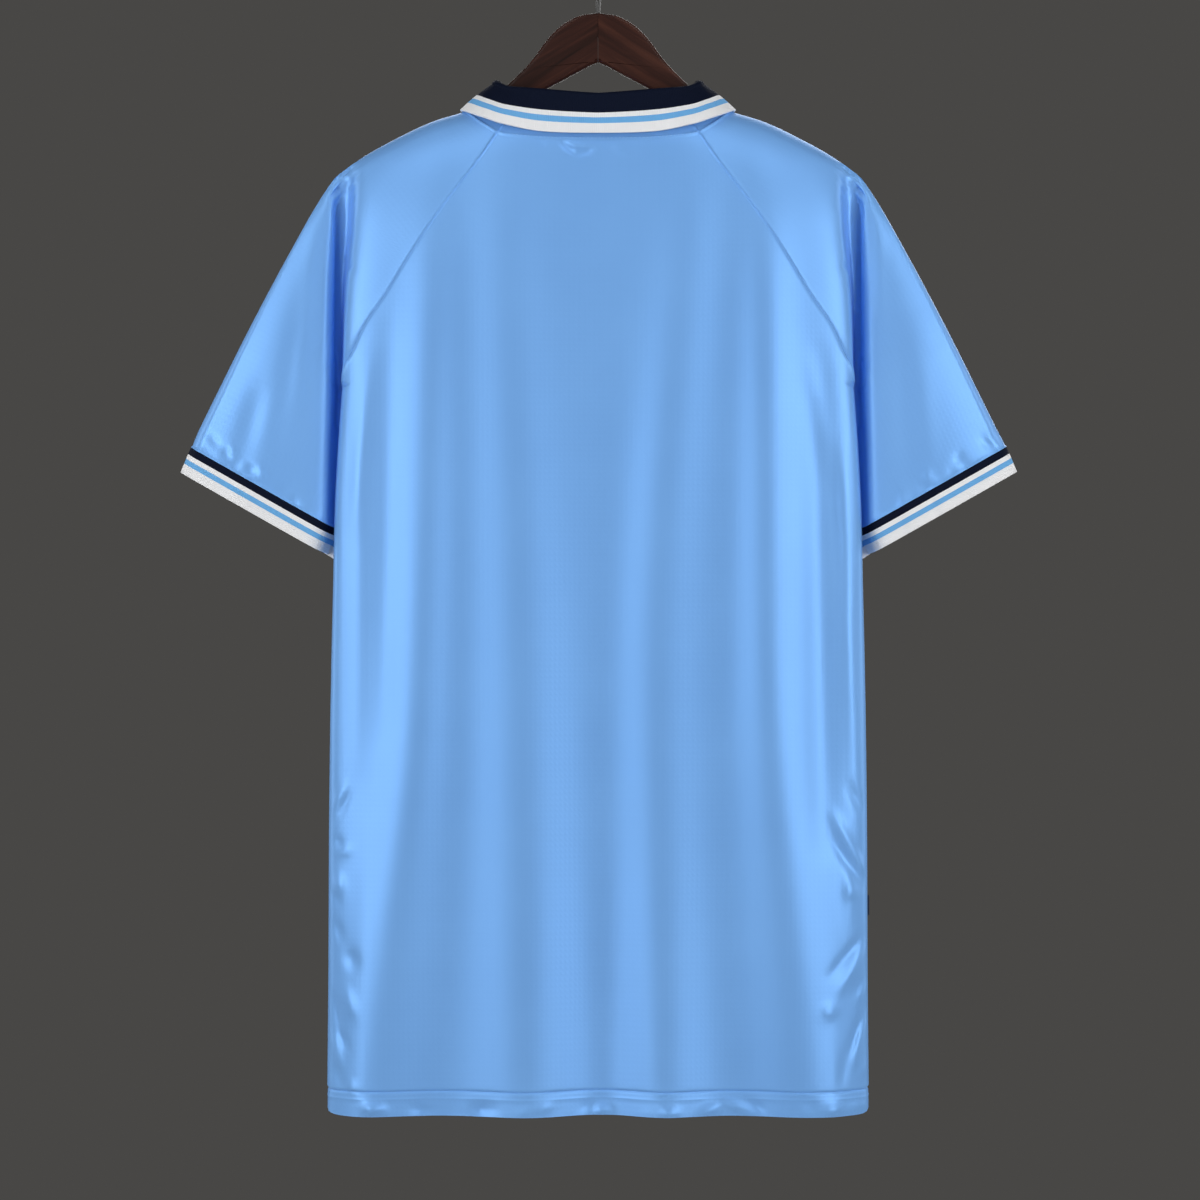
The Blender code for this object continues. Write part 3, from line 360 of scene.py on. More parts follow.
def levelRow(side, across, z):
    width = bodyWidth(z)
    wallX, wallDepth = wallPoint(side, across, z, stripPlaces)
    row = np.concatenate([onBody(side, across, width * edgePlaces, z),
                          place(side, across, wallX, wallDepth, z)])
    lower = np.clip((armpitZ - z) / (armpitZ - hemZ), 0, 1) ** 2
    lift = hem["lift"] - hem["follow"] * foldHeight(side, row[:, 0], hemZ)
    corner = hem["cornerLift"] * np.exp(-np.clip(width - abs(row[:, 0]), 0, 1) / hem["cornerWide"])
    row[:, 2] += lift * lower + corner * np.exp(-(z - hemZ) / hem["cornerTall"])
    return row


def seamEndX(side, share):      # the raglan seam, which comes to the face's edge just above the armpit
    x, toEdge = raglan[side][0](share), np.clip((share - seam["turn"]) / (1 - seam["turn"]), 0, 1)
    edge = bodyWidth(raglan[side][1](share)) - 1.5 * garment["raglanGap"]
    return x + (edge - x) * eased(toEdge)


def panelHalf(side, across):
    rows = []
    seamX, seamZ = raglan[side]
    for share in seamShares:
        end = seamEndX(side, share) - garment["raglanGap"]
        strip = min(seam["strip"], seam["stripShare"] * end)
        inner = (end - strip) * ((1 - share) * evenPlaces + share * edgePlaces)
        x = np.concatenate([inner, end - strip * stripPlaces])
        z = seamZ(share) + (neckZ[side](x) - neckZ[side](seamX(share))) * (1 - share) ** garment["neckFade"]
        z = z - (garment["seamGap"] / 2 if share == 0 else 0)
        rows.append(onBody(side, across, x, z))
    footRow = levelRow(side, across, garment["foldFootZ"])
    armpitRow = levelRow(side, across, armpitZ)
    rows += [seamRow(side, across, t) for t in seamSteps]
    rows += [footRow] + mixRows(footRow, armpitRow, 3)
    return np.array(rows + [levelRow(side, across, z) for z in hemRows()])


def gridNormals(points):
    normals = np.cross(np.gradient(points, axis=0), np.gradient(points, axis=1))
    return normals / (np.linalg.norm(normals, axis=-1, keepdims=True) + 1e-12)


def pushOut(points, amount, outwards):
    return points + gridNormals(points) * outwards * amount[..., None]


def hemForm(x, z, seed):        # the turned-up hem: its raised top, the stitched groove and the puckers
    up = z + 0 * x - hemZ
    form = hem["ridgeStand"] * bell(up - hem["tall"], hem["ridgeHalf"])
    form += hem["double"] / (1 + np.exp(np.minimum((up - hem["tall"]) / hem["doubleFade"], 50)))
    form -= hem["grooveDeep"] * bell(up - hem["stitchUp"], hem["grooveHalf"])
    draw = np.random.default_rng(seed)
    reach, slant = hem["puckerReach"], hem["puckerLean"]
    for _ in range(hem["puckers"]):
        centre, lean = draw.uniform(-reach, reach), draw.uniform(-slant, slant)
        half, stand = draw.uniform(*hem["puckerHalf"]), draw.uniform(*hem["puckerStand"])
        tall = bell(up - draw.uniform(*hem["puckerUp"]), hem["puckerTall"])
        form += hem["pucker"] * stand * bell(x - centre - lean * up, half) * tall
    return form


def neckGroove():       # under the collar, for each row of a raglan seam
    below = seamShares * seam["long"] - neckSeam["below"]
    return neckSeam["groove"] * bell(below, neckSeam["wide"])[:, None]


def seamRoll(beside):
    return -seam["deep"] * bell(beside, seam["wide"])


def panelGrid(side):
    left, right = panelHalf(side, -1), panelHalf(side, 1)
    points = np.concatenate([left[:, ::-1], right[:, 1:]], axis=1)
    amount = np.zeros(points.shape[:2])
    beside = np.concatenate([[1.0], stripPlaces])       # shares of the strip, from the seam
    strip, seamEnd = len(beside), len(seamShares)

    def sink(rows, sunk):       # along both edges
        amount[rows, -strip:] += sunk
        amount[rows, :strip] += sunk[::-1]

    sink(slice(0, seamEnd), seamRoll(beside * seam["strip"]))
    for row, t in enumerate(seamSteps, seamEnd):
        sink(row, seamRoll(beside * (seam["strip"] * (1 - t) + seam["wallLong"] * t)) * (1 - t))
    amount[-len(hemRows()):] += hemForm(points[-len(hemRows()):, :, 0], hemRows()[:, None], 5 + side)
    amount[:seamEnd] -= neckGroove()
    return pushOut(points, amount, side)


def lobeDepth(share, outerZ, floor, long):      # half depth of the tube, from its outer edge to its fold
    half, flat, crown = sleeveHalf(outerZ), sleeveFlat(outerZ), garment["tubeCrown"]
    steep = np.sqrt(1 - (1 - np.minimum(share / garment["tubeEdge"], 1)) ** 2)
    rise = half * ((1 - crown) * steep + crown * (1 - (1 - np.minimum(share / flat, 1)) ** 2))
    turn = np.clip((share - flat) / (1 - flat), 0, 1)
    close = np.maximum(0, 1 - turn ** sleeveSharp(outerZ)) ** sleeveClose(outerZ)
    tube = np.where(share <= flat, rise, np.maximum(floor + (half - floor) * close, floor))
    overArm = overHanger(share * long)
    narrow = overArm + (half - garment["ridge"]) * (1 - np.exp(-share * long / garment["fall"]))
    wide = np.clip(long / garment["fall"], 0, 1)
    outer = np.minimum(tube, tube * wide + np.minimum(narrow, tube) * (1 - wide))
    least = min(1.0, float(overHanger(flat * long)) / half)
    return np.where(share <= flat, outer, floor + (tube - floor) * (wide + (1 - wide) * least))


def bodySideDepth(side, across, x, z):
    width, foot = bodyWidth(z), footX(z)
    face = bodyDepth(side, across * np.minimum(x, width), z)
    up = np.clip((foot - x) / np.maximum(foot - width, 1e-6), 0, 1) ** (1 / wallPower(z))
    wall = footDepth(z) + (bodyDepth(side, across * width, z) - footDepth(z)) * up
    return np.where((x <= width) | (foot <= width), face, wall)


wallUps = np.array([0.01, 0.04, 0.09, 0.16, 0.25, 0.36, 0.49, 0.63, 0.78, 0.9, 1.0])
facePlaces = np.array([0.006, 0.025, 0.06, 0.12, 0.2, 0.3, 0.42, 0.56, 0.72, 0.88])
lipPlaces = np.array([-1.0, -0.75, -0.52, -0.34, -0.2, -0.1, -0.04, 0.0])
floorPlaces = np.array([0.05, 0.2, 0.45, 0.75, 1.0])
tubeRows = np.concatenate([np.linspace(0, 0.955, grid["sleeveRows"]),
                           [0.97, 0.981, 0.989, 0.995, 0.9985, 1.0]])
# where a sleeve row turns down at its fold, as shares of its length, and the turn's own length
sleeveRow = {"edgeLeast": 0.16, "edgeMost": 0.86, "lip": 0.0045, "outerSpread": 1.25,
             "floorLeast": 0.02, "closing": 0.1, "creaseDeep": 0.012, "creaseFrom": 0.3,
             "fineTop": 0.1, "fineSteps": 17}


def meets(line, outerX, innerX, outerZ, innerZ):        # where a row crosses an upright line of the body
    share = 0.5
    for _ in range(12):
        share = float(np.clip((outerX - line(outerZ + (innerZ - outerZ) * share)) / (outerX - innerX), 0, 1))
    return share


def sleeveHalfRow(side, across, outerX, innerX, innerZ, wholeTube, bend, wallEnd=None):
    # from the shoulder's edge to the seam, which on its last rows ends on the side wall
    outerZ = shoulderZ(outerX)
    line, wide = (outerX, innerX, outerZ, innerZ), outerX - innerX
    length = float(np.hypot(wide, outerZ - innerZ))
    fold = meets(lambda z: garment["sleeveFold"], *line)
    foot = 1.0 if wholeTube else meets(footX, *line)
    edge = min(max(fold, sleeveRow["edgeLeast"]), sleeveRow["edgeMost"])
    lip = min(sleeveRow["lip"] / length, 0.5 * edge)
    outer = (edge - lip) * np.linspace(0, 1, grid["sleeveOuter"] + 1)[:-1] ** sleeveRow["outerSpread"]
    if wallEnd is not None:
        fine, steps = sleeveRow["fineTop"], sleeveRow["fineSteps"]
        ups = wallEnd * np.concatenate([(1 - fine) * wallUps,
                                        1 - fine + fine * np.linspace(0, 1, steps + 1)[1:]])
        width, foldFoot = bodyWidth(innerZ), footX(innerZ)
        floorEnd = float(outerX - foldFoot) / wide
        rest = (outerX - (foldFoot + (width - foldFoot) * ups ** garment["foldBow"])) / wide
    elif wholeTube:
        floorEnd = 1 - sleeveRow["closing"] * (1 - edge)
        count = len(wallUps) + len(facePlaces) + len(stripPlaces)
        rest = floorEnd + (1 - floorEnd) * np.linspace(0, 1, count + 1)[1:]
    else:
        floorEnd = max(foot, edge + sleeveRow["floorLeast"])
        top = max(meets(bodyWidth, *line), floorEnd + 0.25 * (1 - floorEnd) * (foot < 0.5) + 0.01)
        strip = min(seam["strip"] / length, 0.35 * (1 - top))
        wall = floorEnd + (top - floorEnd) * (wallUps ** 0.35 if foot >= 0.5 else wallUps)
        rest = np.concatenate([wall, top + (1 - top - strip) * facePlaces, 1 - strip * stripPlaces])
    floor = edge + (floorEnd - edge) * floorPlaces
    shares = np.concatenate([outer, edge + lip * lipPlaces, floor, rest])
    x = outerX + (innerX - outerX) * shares
    z = outerZ + (innerZ - outerZ) * shares
    if bend > 0:        # near the collar a row follows the neckline
        neck, neckHalf = neckZ[side], garment["neckHalf"]
        straight = neck(neckHalf) * (1 - shares) + neck(innerX) * shares
        z = z + (neck(neckHalf + (innerX - neckHalf) * shares) - straight) * bend
    least = footDepth(innerZ) + 0 * shares if wholeTube else footDepth(z)
    floorDepth = np.maximum(least, garment["crotch"])
    tube = lobeDepth(np.minimum(shares / max(fold, 1e-3), 1), outerZ, floorDepth, fold * length)
    if wholeTube:
        closing = np.sqrt(np.clip((1 - shares) / (1 - floorEnd), 0, 1))
        depth = np.where(shares > fold, least + (floorDepth - least) * closing, tube)
    elif wallEnd is not None:
        depth, onWall = np.where(shares < fold, tube, floorDepth), slice(-len(ups), None)
        top = bodyDepth(side, across * bodyWidth(z), z)
        depth[onWall] = (floorDepth + (top - floorDepth) * np.pad(ups, (len(z) - len(ups), 0)))[onWall]
    else:
        body = np.where(shares < foot, floorDepth, bodySideDepth(side, across, x, z))
        depth = np.where(shares < fold, tube, body)
    fade = np.clip(depth / sleeveRow["creaseDeep"] - sleeveRow["creaseFrom"], 0, 1)
    creases = creaseHeight(sleeveCreases[across], x, z) * fade
    return place(side, across, x, depth + creases * (shares < fold), z), (1 - shares) * length


def sleeveHalfGrid(side, across):
    rows, beside = [], []
    seamX, seamZ = raglan[side]
    foot, lastStart, footStart = garment["foldFootZ"], garment["lastSeamStart"], garment["foldFootStart"]

    def add(outerX, innerX, innerZ, wholeTube, bend, wallEnd=None):
        line = float(outerX), float(innerX), float(innerZ)
        row, away = sleeveHalfRow(side, across, *line, wholeTube, bend, wallEnd)
        rows.append(row)
        beside.append(away)

    for share in seamShares:
        innerX, bend = seamEndX(side, share) + garment["raglanGap"], (1 - share) ** garment["sleeveNeckFade"]
        add(rowStart(lastStart * share), innerX, seamZ(share), False, bend)
    for t in seamSteps:
        z, up = float(seamZ(1.0)) * (1 - t) + foot * t, 1 - t - seam["onWall"]
        start = rowStart(lastStart + (footStart - lastStart) * t)
        add(start, wallPoint(side, across, z, up)[0], z, False, 0, up)
        beside[-1] = np.linalg.norm(rows[-1] - rows[-1][-1], axis=1) + 0.004 * t
    add(rowStart(footStart), footX(foot) + garment["seamGap"], foot, True, 0)
    underX, underZ = underarm
    first, last = float(rowStart(1.0)), garment["shoulder"][-1][0] * mm
    start = len(rows)
    for below in tubeRows:
        add(first + (last - first) * below, underX(below) + garment["seamGap"], underZ(below), True, 0)
    rows[start:start] = mixRows(rows[start - 1], rows[start], 2)
    beside[start:start] = [beside[start - 1]] * 2
    return np.array(rows), np.array(beside)


def sleeveGrid(across):
    back, besideBack = sleeveHalfGrid(-1, across)
    front, besideFront = sleeveHalfGrid(1, across)
    points = np.concatenate([back[:, ::-1], front[:, 1:]], axis=1)
    amount = seamRoll(np.concatenate([besideBack[:, ::-1], besideFront[:, 1:]], axis=1))
    amount[:len(seamShares)] -= neckGroove()
    tube = points[-len(tubeRows):]
    up = ((1 - tubeRows) * gather["tubeLong"])[:, None]     # distance above the cuff seam
    amount[-len(tubeRows):] -= gather["pullDeep"] * bell(up, gather["pullTall"])
    draw = np.random.default_rng(21 if across < 0 else 33)
    cornerX, cornerZ = gather["corner"]
    slope, slant = radians(gather["slope"]), gather["lean"]
    alongSeam = (abs(tube[:, :, 0]) - cornerX) * cos(slope) + (tube[:, :, 2] - cornerZ) * sin(slope)
    behind = tube[:, :, 1] + 1e-9 < 0
    for _ in range(gather["count"]):
        centre, lean = draw.uniform(0.0, gather["round"]), draw.uniform(-slant, slant)
        half, stand, tall = [draw.uniform(*gather[name]) for name in ("half", "stand", "tall")]
        onBack = draw.uniform() < 0.5
        bump = bell(alongSeam - centre - lean * up, half) * bell(up, tall)
        amount[-len(tubeRows):] += gather["deep"] * stand * bump * (behind == onBack)
    points = pushOut(points, amount, -across)
    points[:, :, 1] = np.where(np.isclose(points[:, :, 1], 0, atol=2e-5), 0, points[:, :, 1])
    return points


collarCut = {
    # angle from the centre back, rise and lean of the stand, drop and reach of the leaf
    "places": [(0, 0.0236, 0.003, 0.0292, 0.0078), (35, 0.0254, 0.006, 0.0315, 0.0114),
               (65, 0.0236, 0.0125, 0.0272, 0.0222), (90, 0.018, 0.0165, 0.0222, 0.029),
               (120, 0.021, 0.011, 0.027, 0.024), (150, 0.018, 0.005, 0.033, 0.015),
               (180, 0.014, 0.002, 0.04, 0.012)],
    "roll": 0.0022, "leafBow": 0.0012, "open": 0.0004, "lower": 0.003,
    "near": 6,      # degrees to each side for the direction of the neck's edge
    "steps": 112, "leafSteps": 22, "rollShare": 0.07,
    "stripes": [(0.485, "navy"), (0.605, "white"), (0.755, "blue"), (1.0, "white")],
}
cuffCut = {"drop": (0.008, -0.0191), "taper": 0.06, "swell": 0.03, "swellEnd": 1.4,
           "rows": 12, "topRows": (0.03, 0.07),
           "stripes": [(0.275, "navy"), (0.45, "white"), (0.645, "blue"), (1.0, "white")]}


def neckRun(side):
    x = garment["neckHalf"] * np.sin(0.5 * pi * np.linspace(0, 1, 241))
    points = onBody(side, 1, x, neckZ[side](x))
    lengths = lengthsTo(points)
    return lengths / lengths[-1], points


neckRuns = {side: neckRun(side) for side in (-1, 1)}
rise, lean, drop, reach = columns(collarCut["places"])


def neckPlace(angle):
    side, share = (-1, angle / 90) if angle <= 90 else (1, (180 - angle) / 90)
    shares, points = neckRuns[side]
    return pointAt(share, shares, points)


def collarProfile(angle, across):
    # stand, roll and leaf at one place round the neck, and the share of the leaf at each point
    x, y, z = neckPlace(angle)
    near = collarCut["near"]
    ahead, behind = neckPlace(min(angle + near, 180)), neckPlace(max(angle - near, 0))
    runX, runY = (ahead - behind)[:2] / np.hypot(*(ahead - behind)[:2])
    outX, outY = (0.0, angle / 90 - 1) if angle in (0, 180) else (runY, -runX)
    r = collarCut["roll"]
    up, inward, down, out = float(rise(angle)), float(lean(angle)), float(drop(angle)), float(reach(angle))
    top = up - r
    foot = garment["seamGap"]
    line = [(-0.5 * inward * s, foot + (0.5 * up - foot) * s) for s in (0, 0.5, 1)]
    line += [(-inward * (0.5 + 0.5 * s), 0.5 * up + (top - 0.5 * up) * s) for s in (0.33, 0.67, 1)]
    line += [(r - inward + r * cos(turn), top + r * sin(turn)) for turn in np.linspace(pi, 0, 13)[1:]]
    rolled = collarCut["rollShare"]
    shares = [-1.0] * 6 + list(np.linspace(-0.6, 0.0, 8)[:6]) + list(np.linspace(0.0, rolled, 6))
    for s in np.arange(1, collarCut["leafSteps"] + 1) / collarCut["leafSteps"]:
        bow = collarCut["leafBow"] * sin(pi * s)
        line.append((2 * r - inward + (out - 2 * r) * s + bow, top - (down - r) * s))
        shares.append(rolled + (1 - rolled) * s)
    low = collarCut["lower"] * cos(radians(min(angle, 90))) ** 2
    return [(across * (x + outX * o), y + outY * o, z + u - low) for o, u in line], shares


def collarGrid():
    angles = [180 * j / collarCut["steps"] for j in range(collarCut["steps"] + 1)]
    left = [collarProfile(angle, -1)[0] for angle in angles]
    right, shares = zip(*(collarProfile(angle, 1) for angle in angles))
    rows = np.array(left[::-1] + list(right)[1:])
    rows[0, :, 0], rows[-1, :, 0] = -collarCut["open"], collarCut["open"]
    return rows, np.broadcast_to(np.array(shares[0]), rows.shape[:2])


def cuffGrid(sleevePoints, across):
    edge = sleevePoints[-1]
    ring = np.concatenate([[[edge[0, 0], 0.0, edge[0, 2]]], edge[1:-1]])
    dropX, dropZ = cuffCut["drop"]
    gap = 1.3 * garment["seamGap"] / float(np.hypot(dropX, dropZ))
    second, third = cuffCut["topRows"]
    shares = np.concatenate([[gap, second], np.linspace(third, 1, cuffCut["rows"])])
    rows = []
    for s in shares:
        full = 1 - cuffCut["taper"] * s + cuffCut["swell"] * sin(pi * min(s * cuffCut["swellEnd"], 1))
        rows.append(ring * [1, full, 1] + np.array([across * dropX, 0, dropZ]) * s)
    return np.array(rows), np.broadcast_to(shares[:, None], (len(rows), len(ring)))


def newPiece(name, data, material=None):
    piece = bpy.data.objects.new(name, data)
    bpy.context.scene.collection.objects.link(piece)
    if material:
        data.materials.append(material)
    return piece


def fillMesh(data, drawn):
    drawn.to_mesh(data)
    drawn.free()
    data.shade_smooth()
    return data


def polyline(curve, places):
    line = curve.splines.new("POLY")
    line.points.add(len(places) - 1)
    for point, spot in zip(line.points, places):
        point.co = (*spot, 1)
    return line


def clothPiece(name, points, thick, material, flip=False, ring=False, ribShares=None, bevel=0.0):
    # a sheet or tube from a grid of points, with UVs in metres and its wall grown inwards
    rows, count = points.shape[:2]
    r, c = np.meshgrid(np.arange(rows - 1), np.arange(count if ring else count - 1), indexing="ij")
    here, below, step = r * count, (r + 1) * count, (c + 1) % count
    quads = np.stack([here + c, below + c, below + step, here + step], axis=-1).reshape(-1, 4)
    mesh = bpy.data.meshes.new(name)
    mesh.from_pydata(points.reshape(-1, 3).tolist(), [], quads[:, ::-1 if flip else 1].tolist())
    steps = np.linalg.norm(np.diff(points, axis=1), axis=2)
    u = np.concatenate([np.zeros((rows, 1)), np.cumsum(steps, axis=1)], axis=1)
    u -= u[:, count // 2][:, None]
    v = lengthsTo(points[:, count // 2])[:, None] + 0 * u
    if ribShares is not None:
        u, v = v, ribShares         # rib: along it, and the share across it
    flat = np.stack([u, v], axis=-1).reshape(-1, 2)
    corners = np.zeros(len(mesh.loops), np.int32)
    mesh.loops.foreach_get("vertex_index", corners)
    mesh.uv_layers.new(name="cut").data.foreach_set("uv", flat[corners].astype(np.float32).ravel())
    mesh.shade_smooth()
    piece = newPiece(name, mesh, material)
    wall = piece.modifiers.new("wall", "SOLIDIFY")
    wall.thickness, wall.offset, wall.use_even_offset = thick, -1, False
    if bevel:
        soft = piece.modifiers.new("soft edge", "BEVEL")
        soft.width, soft.segments, soft.limit_method, soft.angle_limit = bevel, 2, "ANGLE", radians(55)
        soft.use_clamp_overlap = True
    return piece


def sew(name, points, row, side, stitch):
    # thread showing on the surface: short stitches along one row of a piece's points
    line, outwards = points[row], side * gridNormals(points)[row]
    run = lengthsTo(line)
    mesh = bmesh.new()
    for start in np.arange(stitch["pitch"], run[-1] - stitch["long"], stitch["pitch"]):
        ends = [pointAt(start + s * stitch["long"], run, line) for s in stitchForm["places"]]
        out = pointAt(start, run, outwards)
        level = np.cross(ends[3] - ends[0], out)
        level /= np.linalg.norm(level) + 1e-12
        rings = []
        for end, full in zip(ends, stitchForm["full"]):
            ring = []
            for turn in np.linspace(0, pi, 5):
                up = stitchForm["low"] + stitchForm["high"] * full * sin(turn)
                ring.append(mesh.verts.new(end + (out * up + level * full * cos(turn)) * stitch["wide"]))
            rings.append(ring)
        for one, two in zip(rings, rings[1:]):
            for j in range(4):
                mesh.faces.new((one[j], one[j + 1], two[j + 1], two[j]))
        mesh.faces.new(rings[0])
        mesh.faces.new(rings[-1][::-1])
    bmesh.ops.recalc_face_normals(mesh, faces=mesh.faces)
    settle(newPiece(name, fillMesh(bpy.data.meshes.new(name), mesh), thread), "jersey_cloth")


def newMaterial(name, **sockets):
    material = bpy.data.materials.new(name)
    material.use_nodes = True
    shader = material.node_tree.nodes["Principled BSDF"]
    for socket, value in sockets.items():
        shader.inputs[socket.replace("_", " ")].default_value = value
    return material, material.node_tree, shader


def node(tree, kind, **values):     # a node with its settings, its fixed inputs and its linked inputs
    made = tree.nodes.new(kind)
    for name, value in values.items():
        socket = name.replace("_", " ")
        if isinstance(value, bpy.types.NodeSocket):
            tree.links.new(value, made.inputs[socket])
        elif socket in made.inputs:
            made.inputs[socket].default_value = value
        else:
            setattr(made, name, value)
    return made


def noise(tree, **values):
    return node(tree, "ShaderNodeTexNoise", **values).outputs["Fac"]


def wave(tree, **values):
    return node(tree, "ShaderNodeTexWave", **values).outputs["Fac"]


def mapped(tree, source, **values):
    return node(tree, "ShaderNodeMapping", Vector=source, **values).outputs["Vector"]


def onCut(tree):        # places on the flat cut, in metres
    return node(tree, "ShaderNodeUVMap", uv_map="cut").outputs["UV"]


def onObject(tree):
    return node(tree, "ShaderNodeTexCoord").outputs["Object"]


def weighted(tree, one, share, two):        # one times the share, plus two
    made = node(tree, "ShaderNodeMath", operation="MULTIPLY_ADD")
    tree.links.new(one, made.inputs[0])
    made.inputs[1].default_value = share
    tree.links.new(two, made.inputs[2])
    return made.outputs["Value"]


def paint(tree, shader, source, stops, interpolation="LINEAR"):
    made = node(tree, "ShaderNodeValToRGB", Fac=source)
    elements = made.color_ramp.elements
    made.color_ramp.interpolation = interpolation
    while len(elements) < len(stops):
        elements.new(1.0)
    for element, (position, colour) in zip(elements, stops):
        element.position = position
        element.color = (*colour, 1)
    tree.links.new(made.outputs["Color"], shader.inputs["Base Color"])


def relief(tree, shader, height, strength, distance):
    bump = node(tree, "ShaderNodeBump", Strength=strength, Distance=distance, Height=height)
    tree.links.new(bump.outputs["Normal"], shader.inputs["Normal"])


clothLook = {"light": (0.212, 0.474, 0.935), "deep": (0.198, 0.45, 0.91), "rough": 0.42, "satin": 0.24,
             "specular": 0.12, "streaks": (420, 9, 1), "streakShare": 0.35, "clouds": 9.0,
             "roughUnder": 0.05, "roughOver": 0.07, "wale": 0.0006, "course": 0.0007, "bump": 0.25,
             "deepness": 0.0001}


def jerseyCloth():
    look = clothLook
    material, tree, shader = newMaterial("jerseyCloth", Roughness=look["rough"], Metallic=look["satin"],
                                         Specular_IOR_Level=look["specular"])
    cut = onCut(tree)
    streaks = noise(tree, Scale=1.0, Detail=4.0, Roughness=0.6,
                    Vector=mapped(tree, cut, Scale=look["streaks"]))
    clouds = noise(tree, Scale=look["clouds"], Detail=2.0, Vector=cut)
    paint(tree, shader, weighted(tree, streaks, look["streakShare"], clouds),
          [(0.35, look["deep"]), (0.95, look["light"])])
    rough = node(tree, "ShaderNodeMapRange", Value=clouds, To_Min=look["rough"] - look["roughUnder"],
                 To_Max=look["rough"] + look["roughOver"])
    tree.links.new(rough.outputs["Result"], shader.inputs["Roughness"])
    knit = node(tree, "ShaderNodeMath", operation="MULTIPLY")       # wales times courses
    for j, (pitch, turn) in enumerate(((look["wale"], 0.0), (look["course"], 0.5 * pi))):
        turned = mapped(tree, cut, Rotation=(0, 0, turn))
        tree.links.new(wave(tree, Scale=1 / pitch / 20, Distortion=1.6, Vector=turned), knit.inputs[j])
    relief(tree, shader, knit.outputs["Value"], look["bump"], look["deepness"])
    return material


ribLook = {"navy": (0.0012, 0.0042, 0.017), "white": (0.83, 0.84, 0.86), "blue": (0.15, 0.42, 0.78),
           "pitch": 0.0014, "rows": 6.5, "rowShare": 0.12, "wobble": 0.012, "overlap": 0.006,
           "rough": 0.8, "specular": 0.12, "bump": 0.45, "deepness": 0.0003}


def stripedRib(name, stripes):
    look = ribLook
    material, tree, shader = newMaterial(name, Roughness=look["rough"], Specular_IOR_Level=look["specular"])
    cut = onCut(tree)
    across = node(tree, "ShaderNodeSeparateXYZ", Vector=cut).outputs["Y"]
    uneven = weighted(tree, noise(tree, Scale=900.0, Detail=1.0, Vector=cut), look["wobble"], across)
    stops, start = [], 0.0
    for end, colour in stripes:
        stops.append((start, look[colour]))
        start = end + look["overlap"]
    paint(tree, shader, uneven, stops, "CONSTANT")
    ribs = wave(tree, Scale=2 * pi / 20, Distortion=0.3,
                Vector=mapped(tree, cut, Scale=(1 / look["pitch"], 0.3, 1)))
    rows = wave(tree, Scale=1.0, Distortion=0.4, bands_direction="Y",
                Vector=mapped(tree, cut, Scale=(20, look["rows"], 1)))
    relief(tree, shader, weighted(tree, rows, look["rowShare"], ribs), look["bump"], look["deepness"])
    return material


woodLook = {"dark": (0.011, 0.0038, 0.0026), "middle": (0.033, 0.01, 0.0066),
            "light": (0.058, 0.019, 0.0115), "rough": 0.42, "lacquer": 0.1, "specular": 0.22,
            "turn": 32, "grain": (9, 60, 150), "figure": (6, 20, 45), "figureShare": 0.6,
            "bump": 0.25, "deepness": 0.0003}


def stainedWood(name, across):      # the grain runs down along the arm
    look = woodLook
    material, tree, shader = newMaterial(name, Roughness=look["rough"], Coat_Weight=look["lacquer"],
                                         Coat_Roughness=0.3, Specular_IOR_Level=look["specular"])
    turned = mapped(tree, onObject(tree), Rotation=(0, -across * radians(look["turn"]), 0),
                    Location=(0.3 * across, 0.1, 0.0))
    grain = noise(tree, Scale=1.0, Detail=5.0, Roughness=0.62, Distortion=0.7,
                  Vector=mapped(tree, turned, Scale=look["grain"]))
    figure = noise(tree, Scale=1.0, Detail=2.0, Distortion=1.2,
                   Vector=mapped(tree, turned, Scale=look["figure"]))
    paint(tree, shader, weighted(tree, figure, look["figureShare"], grain),
          [(0.45, look["dark"]), (0.75, look["middle"]), (1.0, look["light"])])
    relief(tree, shader, grain, look["bump"], look["deepness"])
    return material


def plainMaterial(name, pattern, settings, stops, strength, distance, **sockets):
    material, tree, shader = newMaterial(name, **sockets)
    specks = pattern(tree, Vector=onObject(tree), **settings)
    paint(tree, shader, specks, stops)
    relief(tree, shader, specks, strength, distance)
    return material


cloth = jerseyCloth()
collarStriped = stripedRib("collarRib", collarCut["stripes"])
cuffStriped = stripedRib("cuffRib", cuffCut["stripes"])
thread = plainMaterial("sewingThread", noise, {"Scale": 1800.0, "Detail": 1.0},
                       [(0.3, (0.42, 0.66, 0.96)), (0.7, (0.6, 0.8, 1.0))], 0.3, 0.0001,
                       Roughness=0.5, Sheen_Weight=0.2)
tape = plainMaterial("navyTape", wave, {"Scale": 900.0, "bands_direction": "Z"},
                     [(0.2, (0.002, 0.005, 0.018)), (0.8, (0.004, 0.01, 0.036))], 0.3, 0.0001,
                     Roughness=0.65)
enamel = plainMaterial("blackEnamel", noise, {"Scale": 400.0, "Detail": 2.0},
                       [(0.3, (0.006, 0.006, 0.006)), (0.7, (0.014, 0.013, 0.012))], 0.15, 0.0002,
                       Roughness=0.32, Coat_Weight=0.3)
print("materials made")


def settle(piece, slotName, *nodes):
    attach(piece, "root")
    if nodes:
        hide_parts(*nodes)
    return piece


panels = {}
for side, name, cadNode, area in ((-1, "backCloth", "back_panel", 0.324),
                                  (1, "frontCloth", "front_panel", 0.318)):
    panels[side] = panelGrid(side)
    piece = clothPiece(name, panels[side], garment["clothThick"], cloth, flip=side > 0)
    settle(piece, "jersey_cloth", cadNode)
print("panels made")

